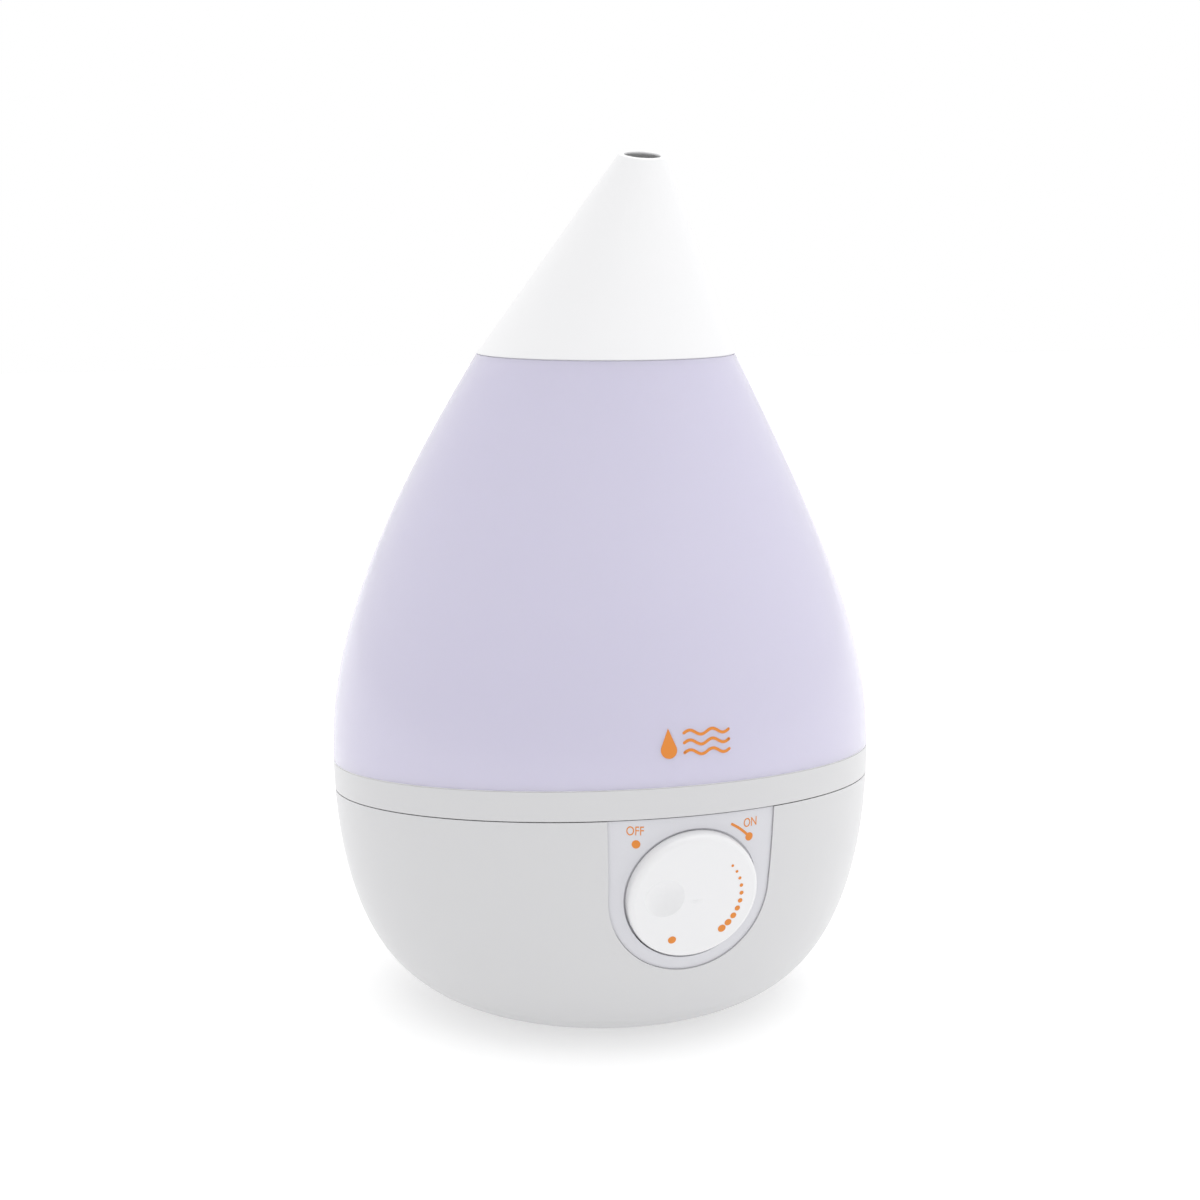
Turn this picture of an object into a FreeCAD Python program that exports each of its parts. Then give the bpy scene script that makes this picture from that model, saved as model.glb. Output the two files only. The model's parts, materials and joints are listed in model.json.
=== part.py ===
import FreeCAD, Part
import math
import os

V = FreeCAD.Vector
UP = V(0, 0, 1)

# All sizes are in millimetres. +Z is up, -Y is the front (the knob's side), and the
# origin is on the floor, in the middle of the round base.

# ---- Outer form: a drop that leans forward towards its tip ----
HEIGHT = 344.9            # floor to the highest point of the nozzle's mouth
BODY_RADIUS = 111.0       # at the widest section
WIDEST_Z = 104.6          # height of the widest section
BOWL_DEPTH = 107.05       # below the widest section, where the bowl's curve would close
BOWL_SQUARENESS = 4.447   # exponents of the bowl's curve
BOWL_ROUNDNESS = 2.19
SHOULDER_SOFTNESS = 72.0  # the shoulder is a hyperbola: its vertex radius ...
SHOULDER_SLOPE = 0.679    # ... and its slope far above the widest section
NOZZLE_Z = 266.1          # level seam between the tank and the nozzle
LEAN_START_Z = 183.7      # the drop is round about its axis up to here
LEAN_AT_NOZZLE = 7.0      # how far forward the seam's centre is
LEAN_AT_TIP = 49.0        # how far forward the mouth's centre is
MOUTH_RADIUS = 9.1        # outside of the nozzle's mouth
MOUTH_TILT = 13.0         # the mouth faces a little forward, degrees
MOUTH_ROUNDING = 0.7      # of the mouth's lip, inside and out

# ---- Seams between the base and the tank: planes that rise towards the front ----
SEAM_TILT = 5.67          # degrees
SEAM_Z = 101.2            # tank seam, on the axis
BAND = 11.25              # height of the deck's visible band
SEAM_GAP = 0.4            # shadow gap between parts that only rest on each other
FIT = 0.3                 # clearance round parts that drop into each other
CLOSE = 0.1               # clearance round parts that are fixed together
RUNNING = 0.05            # radial clearance of a shaft or stem in its guide

# ---- Walls ----
WALL = 2.6                # housing and tank
THIN = 1.8                # small mouldings
BOARD = 1.6               # circuit boards

# ---- Base: lower housing and bottom cover ----
COVER_Z = 2.5             # underside of the cover, which the feet lift off the floor
COVER_THICKNESS = 3.0
COVER_RADIUS = 58.0
LEDGE = 8.0               # width of the housing's ledge that the cover screws against
FOOT_RADIUS = 8.0
FOOT_STEM_RADIUS = 3.0
FOOT_CIRCLE = 46.0
FOOT_CHAMFER = 0.6
SCREW_RADIUS = 1.5
SCREW_HEAD_RADIUS = 2.9
SCREW_HEAD = 1.6
SCREW_SLOT = 0.8
SCREW_LENGTH = 20.0
POST_RADIUS = 4.2
GRILLE_SLOT = 3.0
GRILLE_PITCH = 6.0

# ---- Fan and duct ----
FAN_SIZE = 60.0
FAN_DEPTH = 15.0
FAN_Y = 8.0
FAN_HUB_RADIUS = 13.0
FAN_BLADES = 7
FAN_BLADE = 1.4           # thickness
FAN_BLADE_PITCH = 38.0    # degrees
FAN_BLADE_SHARE = 0.92    # of the rotor's depth
FAN_SPOKE = 2.4           # width
FAN_HOLE_INSET = 4.5
FAN_TIP_GAP = 0.8
FAN_SHAFT_RADIUS = 1.5
CHIMNEY_X, CHIMNEY_Y = 8.0, 47.0
CHIMNEY_RADIUS = 13.0     # inside
CHIMNEY_Z = 90.0          # its rim stays above the basin's water

# ---- Basin ----
BASIN_MARGIN = 35.0       # from the widest section to the basin's wall
BASIN_Y = 12.0
BASIN_Z = 62.0            # basin floor
BASIN_FLANGE = 5.0        # how far the basin's flange reaches under the deck ring
SKIRT = 8.0               # how far the deck's skirt reaches into the housing
SPIGOT = 3.0              # how far the deck's lip stands up inside the tank

# ---- Mist maker ----
MIST_Y = -18.0
DISC_RADIUS = 10.0
DISC_THICKNESS = 0.8
SEAL_RADIUS = 12.0
SEAL_THICKNESS = 3.0
CLAMP_RADIUS = 18.0
CLAMP_THICKNESS = 3.0

# ---- Float ----
FLOAT_X, FLOAT_Y = 44.0, 12.0
FLOAT_RADIUS = 13.0
FLOAT_HEIGHT = 14.0
FLOAT_TRAVEL = 12.0
FLOAT_POST_RADIUS = 3.0
FLOAT_ROUNDING = 1.2
FLOAT_LIFT_OFF = 0.5      # standing height above the basin floor
MAGNET_HEIGHT = 3.0

# ---- Control knob ----
KNOB_RADIUS = 25.8
KNOB_Z = 70.1
KNOB_REACH = 103.0        # from the axis to the knob's datum plane
KNOB_TILT = 12.4          # the face looks this far below the horizon, degrees
KNOB_FACE = 8.0           # face, in front of the datum plane
KNOB_BACK = 1.4
KNOB_GAP = 0.8            # round the knob, in its well
KNOB_EDGE = 2.4
KNOB_DOME = 1.6           # how far the face's middle stands above its rim
WELL_FLOOR = 0.8
DIMPLE_RADIUS = 8.0
DIMPLE_DEPTH = 2.6
DIMPLE_OFFSET = 13.2
DIMPLE_ANGLE = 173.0
PANEL_HALF_WIDTH = 32.3
PANEL_FLARE = 1.2         # how much wider each side is at the top
PANEL_RECESS = 0.7
PANEL_FLANGE = 4.0
SHAFT_RADIUS = 3.0
BUSH_RADIUS = 3.9
DIAL_BODY_RADIUS = 8.5
DIAL_BODY_DEPTH = 9.0
NUT_RADIUS = 6.2
NUT_THICKNESS = 1.8

# ---- Tank ----
TUBE_RADIUS = 15.0        # mist tube, inside
TUBE_WALL = 2.0
TUBE_BOTTOM_Z = 80.0
TANK_FLOOR_RISE = 12.0    # floor plate, above the seam
WELL_Z = 250.0            # underside of the tank's recessed top
COLLAR_RADIUS = 45.2

# ---- Tank cap and valve ----
CAP_X, CAP_Y = -36.0, 30.0
NECK_RADIUS = 20.0        # inside
NECK_Z = 96.0
CAP_RADIUS = 27.0
CAP_Z = 92.0
CAP_TOP_Z = 105.0
GRIPS = 20                # notches round the cap
GRIP_RADIUS = 1.1
LUG = 1.5
LUG_HEIGHT = 2.0
LUG_SPAN = 40.0           # degrees
STEM_RADIUS = 2.2
VALVE_LIFT = 4.0
VALVE_DISC_RADIUS = 8.0
VALVE_DISC = 1.5
STEM_FOOT_RADIUS = 4.6
STEM_FOOT_Z = 84.3
SPRING_RADIUS = 3.5
SPRING_WIRE = 0.7
SPRING_TURNS = 4

# ---- Power inlet, boards and leads ----
INLET_Z = 38.0
INLET_WIDTH = 22.0
INLET_HEIGHT = 12.0
INLET_DEPTH = 16.0
INLET_BEZEL = 2.0
PIN_RADIUS = 1.2
PIN_PITCH = 8.6
# Boards hang under the basin: centre x and y, width, depth, and the height of the top.
DRIVER_BOARD = (-61.0, -24.0, 34.0, 50.0, 40.0)
POWER_BOARD = (61.0, -24.0, 34.0, 50.0, 40.0)
BOARD_SCREW_INSET = 4.0
SINK_WIDTH, SINK_DEPTH, SINK_HEIGHT = 18.0, 24.0, 14.0
SINK_BASE = 3.0
SINK_SLOTS = 5
CORE_SIZE, CORE_DEPTH, CORE_HEIGHT = 22.0, 16.0, 16.0
WINDING_INSET = 3.0       # the winding is narrower than the core, and as much deeper
CAPACITOR_RADIUS = 5.0
CAPACITOR_HEIGHT = 12.0
CAPACITOR_X, CAPACITOR_Y = -4.0, 17.0   # from the power board's centre
LEAD_RADIUS = 1.3
LEAD_DROP = 7.0           # straight run where a lead meets what it serves
LEAD_EDGE = 13.0          # from the driver board's centre to its row of leads

# ---- Worked out from the above ----
BASIN_RADIUS = BODY_RADIUS - BASIN_MARGIN
LEDGE_Z = COVER_Z + COVER_THICKNESS
LEDGE_TOP_Z = LEDGE_Z + WALL
SCREW_CIRCLE = COVER_RADIUS - LEDGE / 2
FAN_Z = LEDGE_Z + CLOSE
DUCT_Z = FAN_Z + FAN_DEPTH + CLOSE
FLOOR_UNDER_Z = BASIN_Z - WALL
SEAL_Z = FLOOR_UNDER_Z - SEAL_THICKNESS
CLAMP_Z = SEAL_Z - CLAMP_THICKNESS
WELL_TOP_Z = WELL_Z + WALL
COLLAR_Z = WELL_TOP_Z + SEAM_GAP
SEAM_RISE = BODY_RADIUS * math.tan(math.radians(SEAM_TILT))   # of the seam, from the axis to the front
BIG = 4 * HEIGHT


# ---------------------------------------------------------------- outline formulas

def outline_radius(z):
    """Radius of the drop at a height, up to the nozzle's seam."""
    if z < WIDEST_Z:
        depth = (WIDEST_Z - z) / BOWL_DEPTH
        return BODY_RADIUS * (1 - depth ** BOWL_ROUNDNESS) ** (1 / BOWL_SQUARENESS)
    rise = SHOULDER_SLOPE * (z - WIDEST_Z)
    return BODY_RADIUS + SHOULDER_SOFTNESS - math.hypot(SHOULDER_SOFTNESS, rise)


def inset_radius(z, inset):
    """Radius of the surface that lies a wall's thickness inside the drop."""
    step = 0.05
    slope = (outline_radius(z + step) - outline_radius(z - step)) / (2 * step)
    return outline_radius(z) - inset * math.hypot(1, slope)


def lean(z):
    """How far forward the centre of a section is, up to the nozzle's seam."""
    along = (z - LEAN_START_Z) / (NOZZLE_Z - LEAN_START_Z)
    return LEAN_AT_NOZZLE * max(0.0, along) ** 2


# ---------------------------------------------------------------- shared shapes

def cylinder(radius, z0, z1, x=0.0, y=0.0):
    return Part.makeCylinder(radius, z1 - z0, V(x, y, z0))


def ring(outer, inner, z0, z1, x=0.0, y=0.0):
    return cylinder(outer, z0, z1, x, y).cut(cylinder(inner, z0 - 1, z1 + 1, x, y))


def block(x0, x1, y0, y1, z0, z1):
    return Part.makeBox(x1 - x0, y1 - y0, z1 - z0, V(x0, y0, z0))


def spun_drop(z0, z1, inset=0.0, steps=18):
    """The drop's lower, round part between two heights, as a solid of revolution."""
    heights = [z0 + (z1 - z0) * (i / steps) ** 1.6 for i in range(steps + 1)]
    points = [V(inset_radius(z, inset), 0, z) for z in heights]
    curve = Part.BSplineCurve()
    curve.interpolate(points)
    low, high = V(0, 0, z0), V(0, 0, z1)
    sides = [Part.makeLine(points[-1], high), Part.makeLine(high, low), Part.makeLine(low, points[0])]
    face = Part.Face(Part.Wire([curve.toShape()] + sides))
    return face.revolve(V(0, 0, 0), UP, 360)


def skinned_drop(z0, z1, inset=0.0, steps=14):
    """The drop between two heights, leaning part included, as a skin through circles."""
    circles = []
    for i in range(steps + 1):
        z = z0 + (z1 - z0) * i / steps
        edge = Part.makeCircle(inset_radius(z, inset), V(0, -lean(z), z), UP)
        circles.append(Part.Wire(edge))
    return Part.makeLoft(circles, True, False)


def below_seam(offset=0.0):
    """Everything below the tilted seam plane, moved up or down the axis."""
    half = Part.makeBox(BIG, BIG, BIG, V(-BIG / 2, -BIG / 2, -BIG))
    half.rotate(V(0, 0, 0), V(1, 0, 0), -SEAM_TILT)
    half.translate(V(0, 0, SEAM_Z + offset))
    return half


def seam_slab(low, high):
    """The slab between two planes that are parallel to the seam."""
    return below_seam(high).cut(below_seam(low))


def from_knob(shape):
    """Carries a shape from the knob's own frame, +Z out of its face, to the model."""
    turn = FreeCAD.Rotation(V(1, 0, 0), 90 + KNOB_TILT)
    placed = shape.copy()
    placed.Placement = FreeCAD.Placement(V(0, -KNOB_REACH, KNOB_Z), turn).multiply(placed.Placement)
    return placed


def around(count, radius, first=0.0):
    """Points evenly spaced on a circle."""
    places = []
    for i in range(count):
        angle = math.radians(first + 360.0 * i / count)
        places.append((radius * math.cos(angle), radius * math.sin(angle)))
    return places


def screw_places():
    return around(4, SCREW_CIRCLE, 45)


def fan_screw_places():
    spacing = (FAN_SIZE / 2 - FAN_HOLE_INSET) * math.sqrt(2)
    return [(x, y + FAN_Y) for x, y in around(4, spacing, 45)]


def clamp_screw_places():
    middle = (SEAL_RADIUS + CLAMP_RADIUS) / 2
    return [(x, y + MIST_Y) for x, y in around(3, middle, 90)]


def joined(shapes):
    return shapes[0].multiFuse(shapes[1:]).removeSplitter()


# ---------------------------------------------------------------- base shells

def panel_outline(margin):
    """The shield: straight sides that flare a little, and a round lower end."""
    half = PANEL_HALF_WIDTH + margin
    top = 2 * PANEL_HALF_WIDTH
    wide = half + PANEL_FLARE * top / PANEL_HALF_WIDTH
    corners = [V(-half, 0, 0), V(half, 0, 0), V(wide, top, 0), V(-wide, top, 0), V(-half, 0, 0)]
    reach = 2 * PANEL_HALF_WIDTH
    sides = Part.Face(Part.makePolygon(corners)).extrude(V(0, 0, reach))
    shield = sides.fuse(Part.makeCylinder(half, reach))
    shield.translate(V(0, 0, -reach / 2))
    return from_knob(shield)


def lower_housing():
    top_z = SEAM_Z + SEAM_RISE
    outer = spun_drop(COVER_Z, top_z)
    inner = spun_drop(LEDGE_TOP_Z, top_z + 1, WALL)
    hole = cylinder(COVER_RADIUS - LEDGE, COVER_Z - 1, LEDGE_TOP_Z + 1)
    rebate = cylinder(COVER_RADIUS + CLOSE, COVER_Z - 1, LEDGE_Z)
    shell = outer.cut(inner).cut(hole).cut(rebate).common(below_seam(-BAND - SEAM_GAP))
    shell = shell.cut(panel_outline(0.0))
    for x, y in screw_places():
        shell = shell.cut(cylinder(SCREW_RADIUS + CLOSE, COVER_Z, LEDGE_TOP_Z + 1, x, y))
    return shell.cut(inlet_prism(0.0))


def grille_slots():
    """Slots under the fan, each as long as the fan's opening is wide there."""
    slots = []
    reach = FAN_SIZE / 2 - GRILLE_SLOT
    rows = int(reach // GRILLE_PITCH)
    for i in range(-rows, rows + 1):
        offset = i * GRILLE_PITCH
        half = math.sqrt(reach ** 2 - offset ** 2)
        slots.append(block(-half, half, FAN_Y + offset - GRILLE_SLOT / 2,
                           FAN_Y + offset + GRILLE_SLOT / 2, COVER_Z - 1, LEDGE_Z + 1))
    return slots


def bottom_cover():
    cover = cylinder(COVER_RADIUS, COVER_Z, LEDGE_Z)
    for slot in grille_slots():
        cover = cover.cut(slot)
    for x, y in screw_places():
        cover = cover.cut(cylinder(SCREW_RADIUS + CLOSE, COVER_Z - 1, LEDGE_Z + 1, x, y))
        cover = cover.cut(cylinder(SCREW_HEAD_RADIUS + CLOSE, COVER_Z - 1, COVER_Z + SCREW_HEAD + CLOSE,
                                   x, y))
    for x, y in around(4, FOOT_CIRCLE):
        cover = cover.cut(cylinder(FOOT_STEM_RADIUS + CLOSE, COVER_Z - 1, LEDGE_Z + 1, x, y))
    return cover


def rubber_feet():
    feet = []
    for x, y in around(4, FOOT_CIRCLE):
        pad = cylinder(FOOT_RADIUS, 0, COVER_Z - CLOSE / 2, x, y)
        pad = pad.makeChamfer(FOOT_CHAMFER, [pad.Edges[2]])
        feet.append(joined([pad, cylinder(FOOT_STEM_RADIUS, COVER_Z - CLOSE, LEDGE_Z, x, y)]))
    return Part.makeCompound(feet)


def pan_screw(x, y, z, length, head_radius, radius):
    head = cylinder(head_radius, z, z + SCREW_HEAD, x, y)
    shank = cylinder(radius, z + SCREW_HEAD, z + SCREW_HEAD + length, x, y)
    slot = block(x - head_radius, x + head_radius, y - SCREW_SLOT / 2, y + SCREW_SLOT / 2,
                 z - 1, z + SCREW_HEAD / 2)
    return joined([head, shank]).cut(slot)


def housing_screws():
    screws = []
    for x, y in screw_places():
        screws.append(pan_screw(x, y, COVER_Z + CLOSE / 2, SCREW_LENGTH, SCREW_HEAD_RADIUS, SCREW_RADIUS))
    return Part.makeCompound(screws)


# ---------------------------------------------------------------- deck ring

def deck_ring():
    """The base's visible band, a sloping plate round the basin, a skirt into the housing and a lip."""
    top_z = SEAM_Z + SEAM_RISE + SPIGOT
    low_z = SEAM_Z - BAND - SEAM_RISE - SKIRT
    band = spun_drop(low_z, top_z).cut(spun_drop(low_z - 1, top_z + 1, WALL + FIT + THIN))
    band = band.common(seam_slab(-BAND, -WALL / 2))
    plate = spun_drop(low_z, top_z).common(seam_slab(-WALL, 0))
    plate = plate.cut(cylinder(BASIN_RADIUS + WALL + CLOSE / 2, 0, BIG / 2, 0, BASIN_Y))
    skirt = spun_drop(low_z, top_z, WALL + FIT).cut(spun_drop(low_z - 1, top_z + 1, WALL + FIT + THIN))
    notch_half = PANEL_HALF_WIDTH + PANEL_FLANGE + 2 * PANEL_FLARE + FIT
    notch = block(-notch_half, notch_half, -BIG, -BODY_RADIUS / 2, 0, BIG)
    notch = notch.common(below_seam(-BAND))
    skirt = skirt.common(seam_slab(-BAND - SKIRT, -BAND + WALL)).cut(notch)
    lip_inset = WALL + FIT + CLOSE
    lip = spun_drop(low_z, top_z, lip_inset).cut(spun_drop(low_z - 1, top_z + 1, lip_inset + THIN))
    lip = lip.common(seam_slab(-WALL / 2, SPIGOT))
    return joined([plate, band, skirt, lip])


# ---------------------------------------------------------------- basin

def basin():
    """Water bowl under the tank: its flange carries the deck ring, its posts stand on the housing."""
    outer = BASIN_RADIUS + WALL
    bowl = cylinder(outer, FLOOR_UNDER_Z, BIG / 2, 0, BASIN_Y)
    bowl = bowl.cut(cylinder(BASIN_RADIUS, BASIN_Z, BIG, 0, BASIN_Y)).common(below_seam(0))
    flange = ring(outer + BASIN_FLANGE, outer - THIN, 0, BIG / 2, 0, BASIN_Y)
    flange = flange.common(seam_slab(-WALL - CLOSE / 2 - THIN, -WALL - CLOSE / 2))
    parts = [bowl, flange]
    for x, y in screw_places():
        parts.append(cylinder(POST_RADIUS, LEDGE_TOP_Z + CLOSE, FLOOR_UNDER_Z + 1, x, y))
    parts.append(cylinder(CLAMP_RADIUS, SEAL_Z, FLOOR_UNDER_Z + 1, 0, MIST_Y))
    shape = joined(parts)
    shape = shape.cut(cylinder(CHIMNEY_RADIUS + THIN + CLOSE / 2, 0, BIG, CHIMNEY_X, CHIMNEY_Y))
    shape = shape.cut(cylinder(SEAL_RADIUS + CLOSE, SEAL_Z - 1, FLOOR_UNDER_Z, 0, MIST_Y))
    shape = shape.cut(cylinder(DISC_RADIUS - THIN, SEAL_Z, BASIN_Z + 1, 0, MIST_Y))
    for x, y in screw_places():
        depth = COVER_Z + SCREW_HEAD + SCREW_LENGTH + 2
        shape = shape.cut(cylinder(SCREW_RADIUS + CLOSE, 0, depth, x, y))
    for x, y in clamp_screw_places():
        shape = shape.cut(cylinder(SCREW_RADIUS - THIN / 3 + CLOSE, 0, BASIN_Z - WALL / 2, x, y))
    for x, y, radius in ((FLOAT_X, FLOAT_Y, FLOAT_POST_RADIUS), (CAP_X, CAP_Y, STEM_RADIUS + THIN)):
        shape = shape.cut(cylinder(radius + CLOSE / 2, BASIN_Z - WALL / 2, BASIN_Z + 1, x, y))
    return shape


def post_foot():
    """Underside of the posts, which are pressed into blind holes in the basin's floor."""
    return BASIN_Z - WALL / 2 + CLOSE / 2


def air_chimney():
    """Tube that leads the fan's air up past the water, with a collar on the basin's floor."""
    tube = cylinder(CHIMNEY_RADIUS + THIN, FLOOR_UNDER_Z - SKIRT / 2, CHIMNEY_Z, CHIMNEY_X, CHIMNEY_Y)
    collar = cylinder(CHIMNEY_RADIUS + 2 * THIN, BASIN_Z + CLOSE / 2, BASIN_Z + THIN, CHIMNEY_X, CHIMNEY_Y)
    return joined([tube, collar]).cut(cylinder(CHIMNEY_RADIUS, 0, BIG, CHIMNEY_X, CHIMNEY_Y))


def float_post():
    return cylinder(FLOAT_POST_RADIUS, post_foot(), float_top_z() + WALL, FLOAT_X, FLOAT_Y)


def valve_post():
    """Stepped post that lifts the tank's valve when the tank is set down."""
    step = cylinder(STEM_RADIUS + THIN, post_foot(), BASIN_Z + FLOAT_HEIGHT / 2, CAP_X, CAP_Y)
    return joined([step, cylinder(STEM_RADIUS, BASIN_Z, STEM_FOOT_Z - FIT, CAP_X, CAP_Y)])


# ---------------------------------------------------------------- fan and duct

def fan_frame():
    half = FAN_SIZE / 2
    bore = half - THIN
    frame = block(-half, half, FAN_Y - half, FAN_Y + half, FAN_Z, FAN_Z + FAN_DEPTH)
    frame = frame.cut(cylinder(bore, FAN_Z - 1, FAN_Z + FAN_DEPTH + 1, 0, FAN_Y))
    hub_top = FAN_Z + FAN_DEPTH
    hub = cylinder(FAN_HUB_RADIUS, hub_top - THIN, hub_top, 0, FAN_Y)
    bearing = cylinder(FAN_SHAFT_RADIUS + THIN, FAN_Z + FAN_DEPTH / 2, hub_top, 0, FAN_Y)
    parts = [frame, hub, bearing]
    for i in range(3):
        spoke = block(0, bore + THIN / 2, -FAN_SPOKE / 2, FAN_SPOKE / 2, hub_top - THIN, hub_top)
        spoke.rotate(V(0, 0, 0), UP, 30 + 120 * i)
        spoke.translate(V(0, FAN_Y, 0))
        parts.append(spoke)
    fused = joined(parts)
    for x, y in fan_screw_places():
        fused = fused.cut(cylinder(SCREW_RADIUS, FAN_Z - 1, hub_top + 1, x, y))
    shaft_hole = cylinder(FAN_SHAFT_RADIUS + RUNNING, FAN_Z, hub_top - THIN / 2, 0, FAN_Y)
    return fused.cut(shaft_hole)


def fan_rotor():
    low = FAN_Z + THIN
    high = FAN_Z + FAN_DEPTH - THIN - FIT - 0.5
    cup = cylinder(FAN_HUB_RADIUS, low, high, 0, 0)
    cup = cup.cut(cylinder(FAN_HUB_RADIUS - THIN, low + THIN, high + 1))
    tip = FAN_SIZE / 2 - THIN - FAN_TIP_GAP
    parts = [cup]
    for i in range(FAN_BLADES):
        blade = block(FAN_HUB_RADIUS - 1, tip - 1, -FAN_BLADE / 2, FAN_BLADE / 2,
                      0, (high - low) * FAN_BLADE_SHARE)
        blade.rotate(V(0, 0, 0), V(1, 0, 0), FAN_BLADE_PITCH)
        blade.translate(V(0, 0, low))
        blade.rotate(V(0, 0, 0), UP, 360.0 * i / FAN_BLADES)
        parts.append(blade)
    slab = cylinder(tip, low, high)
    rotor = joined(parts).common(slab)
    rotor = rotor.cut(cylinder(FAN_SHAFT_RADIUS + CLOSE / 2, low - 1, high))
    rotor.translate(V(0, FAN_Y, 0))
    return rotor


def fan_shaft():
    return cylinder(FAN_SHAFT_RADIUS, FAN_Z + THIN, FAN_Z + FAN_DEPTH - THIN - CLOSE, 0, FAN_Y)


def fan_coil():
    """Windings on the frame's bearing tube, inside the rotor's cup."""
    low = FAN_Z + FAN_DEPTH / 2
    high = FAN_Z + FAN_DEPTH - THIN - CLOSE
    inside = FAN_SHAFT_RADIUS + THIN + CLOSE
    outside = FAN_HUB_RADIUS - THIN - FAN_TIP_GAP - 1
    return ring(outside, inside, low, high, 0, FAN_Y)


def fan_screws():
    screws = []
    for x, y in fan_screw_places():
        head_z = DUCT_Z + THIN
        shank = cylinder(SCREW_RADIUS - CLOSE, LEDGE_Z + THIN, head_z, x, y)
        head = cylinder(SCREW_HEAD_RADIUS, head_z, head_z + SCREW_HEAD, x, y)
        screws.append(joined([shank, head]))
    return Part.makeCompound(screws)


def duct_skin(inset, extra):
    base = FAN_SIZE / 2 - THIN - inset
    top = CHIMNEY_RADIUS + THIN + CLOSE + THIN - inset
    top_z = FLOOR_UNDER_Z - SKIRT / 2
    low = Part.Wire(Part.makeCircle(base, V(0, FAN_Y, DUCT_Z - extra), UP))
    knee = Part.Wire(Part.makeCircle(base, V(0, FAN_Y, DUCT_Z + THIN), UP))
    high = Part.Wire(Part.makeCircle(top, V(CHIMNEY_X, CHIMNEY_Y, top_z - THIN), UP))
    end = Part.Wire(Part.makeCircle(top, V(CHIMNEY_X, CHIMNEY_Y, top_z + extra), UP))
    return Part.makeLoft([low, knee, high, end], True, True)


def air_duct():
    """A plate on the fan, and a hood that narrows towards the chimney."""
    half = FAN_SIZE / 2
    plate = block(-half, half, FAN_Y - half, FAN_Y + half, DUCT_Z, DUCT_Z + THIN)
    top_z = FLOOR_UNDER_Z - SKIRT / 2
    socket = ring(CHIMNEY_RADIUS + 2 * THIN + CLOSE, CHIMNEY_RADIUS + THIN + CLOSE,
                  top_z - THIN / 2, FLOOR_UNDER_Z - CLOSE, CHIMNEY_X, CHIMNEY_Y)
    hood = joined([plate, duct_skin(0.0, 0.0)]).cut(duct_skin(THIN, 1.0))
    hood = joined([hood, socket])
    for x, y in fan_screw_places():
        hood = hood.cut(cylinder(SCREW_RADIUS, DUCT_Z - 1, DUCT_Z + THIN + 1, x, y))
        hood = hood.cut(cylinder(SCREW_HEAD_RADIUS + FIT, DUCT_Z + THIN, DUCT_Z + THIN + 2 * SCREW_HEAD,
                                 x, y))
    return hood


# ---------------------------------------------------------------- mist maker

def disc_z():
    return SEAL_Z + (SEAL_THICKNESS - DISC_THICKNESS) / 2


def transducer_disc():
    return cylinder(DISC_RADIUS, disc_z(), disc_z() + DISC_THICKNESS, 0, MIST_Y)


def transducer_seal():
    seal = ring(SEAL_RADIUS, DISC_RADIUS - THIN, SEAL_Z, FLOOR_UNDER_Z - CLOSE / 2, 0, MIST_Y)
    groove = cylinder(DISC_RADIUS + CLOSE / 2, disc_z() - CLOSE / 2, disc_z() + DISC_THICKNESS + CLOSE / 2,
                      0, MIST_Y)
    return seal.cut(groove)


def transducer_clamp():
    clamp = ring(CLAMP_RADIUS, DISC_RADIUS - THIN, CLAMP_Z, SEAL_Z - CLOSE / 2, 0, MIST_Y)
    for x, y in clamp_screw_places():
        clamp = clamp.cut(cylinder(SCREW_RADIUS - THIN / 3 + CLOSE, CLAMP_Z - 1, SEAL_Z, x, y))
    return clamp


def transducer_screws():
    screws = []
    radius = SCREW_RADIUS - THIN / 3
    for x, y in clamp_screw_places():
        head_z = CLAMP_Z - SCREW_HEAD - CLOSE / 2
        length = BASIN_Z - WALL / 2 - CLAMP_Z - 0.5
        screws.append(pan_screw(x, y, head_z, length, 1.8 * radius, radius))
    return Part.makeCompound(screws)


# ---------------------------------------------------------------- float

def float_base_z():
    return BASIN_Z + FLOAT_LIFT_OFF


def float_top_z():
    return float_base_z() + FLOAT_HEIGHT + FLOAT_TRAVEL + FIT


def float_body():
    body = cylinder(FLOAT_RADIUS, float_base_z(), float_base_z() + FLOAT_HEIGHT, FLOAT_X, FLOAT_Y)
    body = body.makeFillet(FLOAT_ROUNDING, [body.Edges[0], body.Edges[2]])
    body = body.cut(cylinder(FLOAT_POST_RADIUS + FIT, BASIN_Z, BIG, FLOAT_X, FLOAT_Y))
    return body.cut(cylinder(magnet_radius() + CLOSE, BASIN_Z, float_base_z() + MAGNET_HEIGHT + CLOSE,
                             FLOAT_X, FLOAT_Y))


def magnet_radius():
    return FLOAT_POST_RADIUS + FIT + WALL


def float_magnet():
    return ring(magnet_radius(), FLOAT_POST_RADIUS + FIT, float_base_z(), float_base_z() + MAGNET_HEIGHT,
                FLOAT_X, FLOAT_Y)


def float_clip():
    """Push-on washer that keeps the float on its post."""
    low = float_top_z()
    clip = ring(FLOAT_POST_RADIUS + THIN, FLOAT_POST_RADIUS + CLOSE / 2, low, low + THIN / 2,
                FLOAT_X, FLOAT_Y)
    mouth = block(FLOAT_X, FLOAT_X + 2 * FLOAT_RADIUS, FLOAT_Y - THIN, FLOAT_Y + THIN, low - 1, low + THIN)
    return clip.cut(mouth)


def reed_switch():
    """Sensor under the basin, beside the float's post."""
    reach = FLOAT_POST_RADIUS + THIN
    return block(FLOAT_X - reach, FLOAT_X + reach, FLOAT_Y - 2 * reach, FLOAT_Y + 2 * reach,
                 FLOOR_UNDER_Z - THIN - CLOSE, FLOOR_UNDER_Z - CLOSE)


# ---------------------------------------------------------------- control

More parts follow.
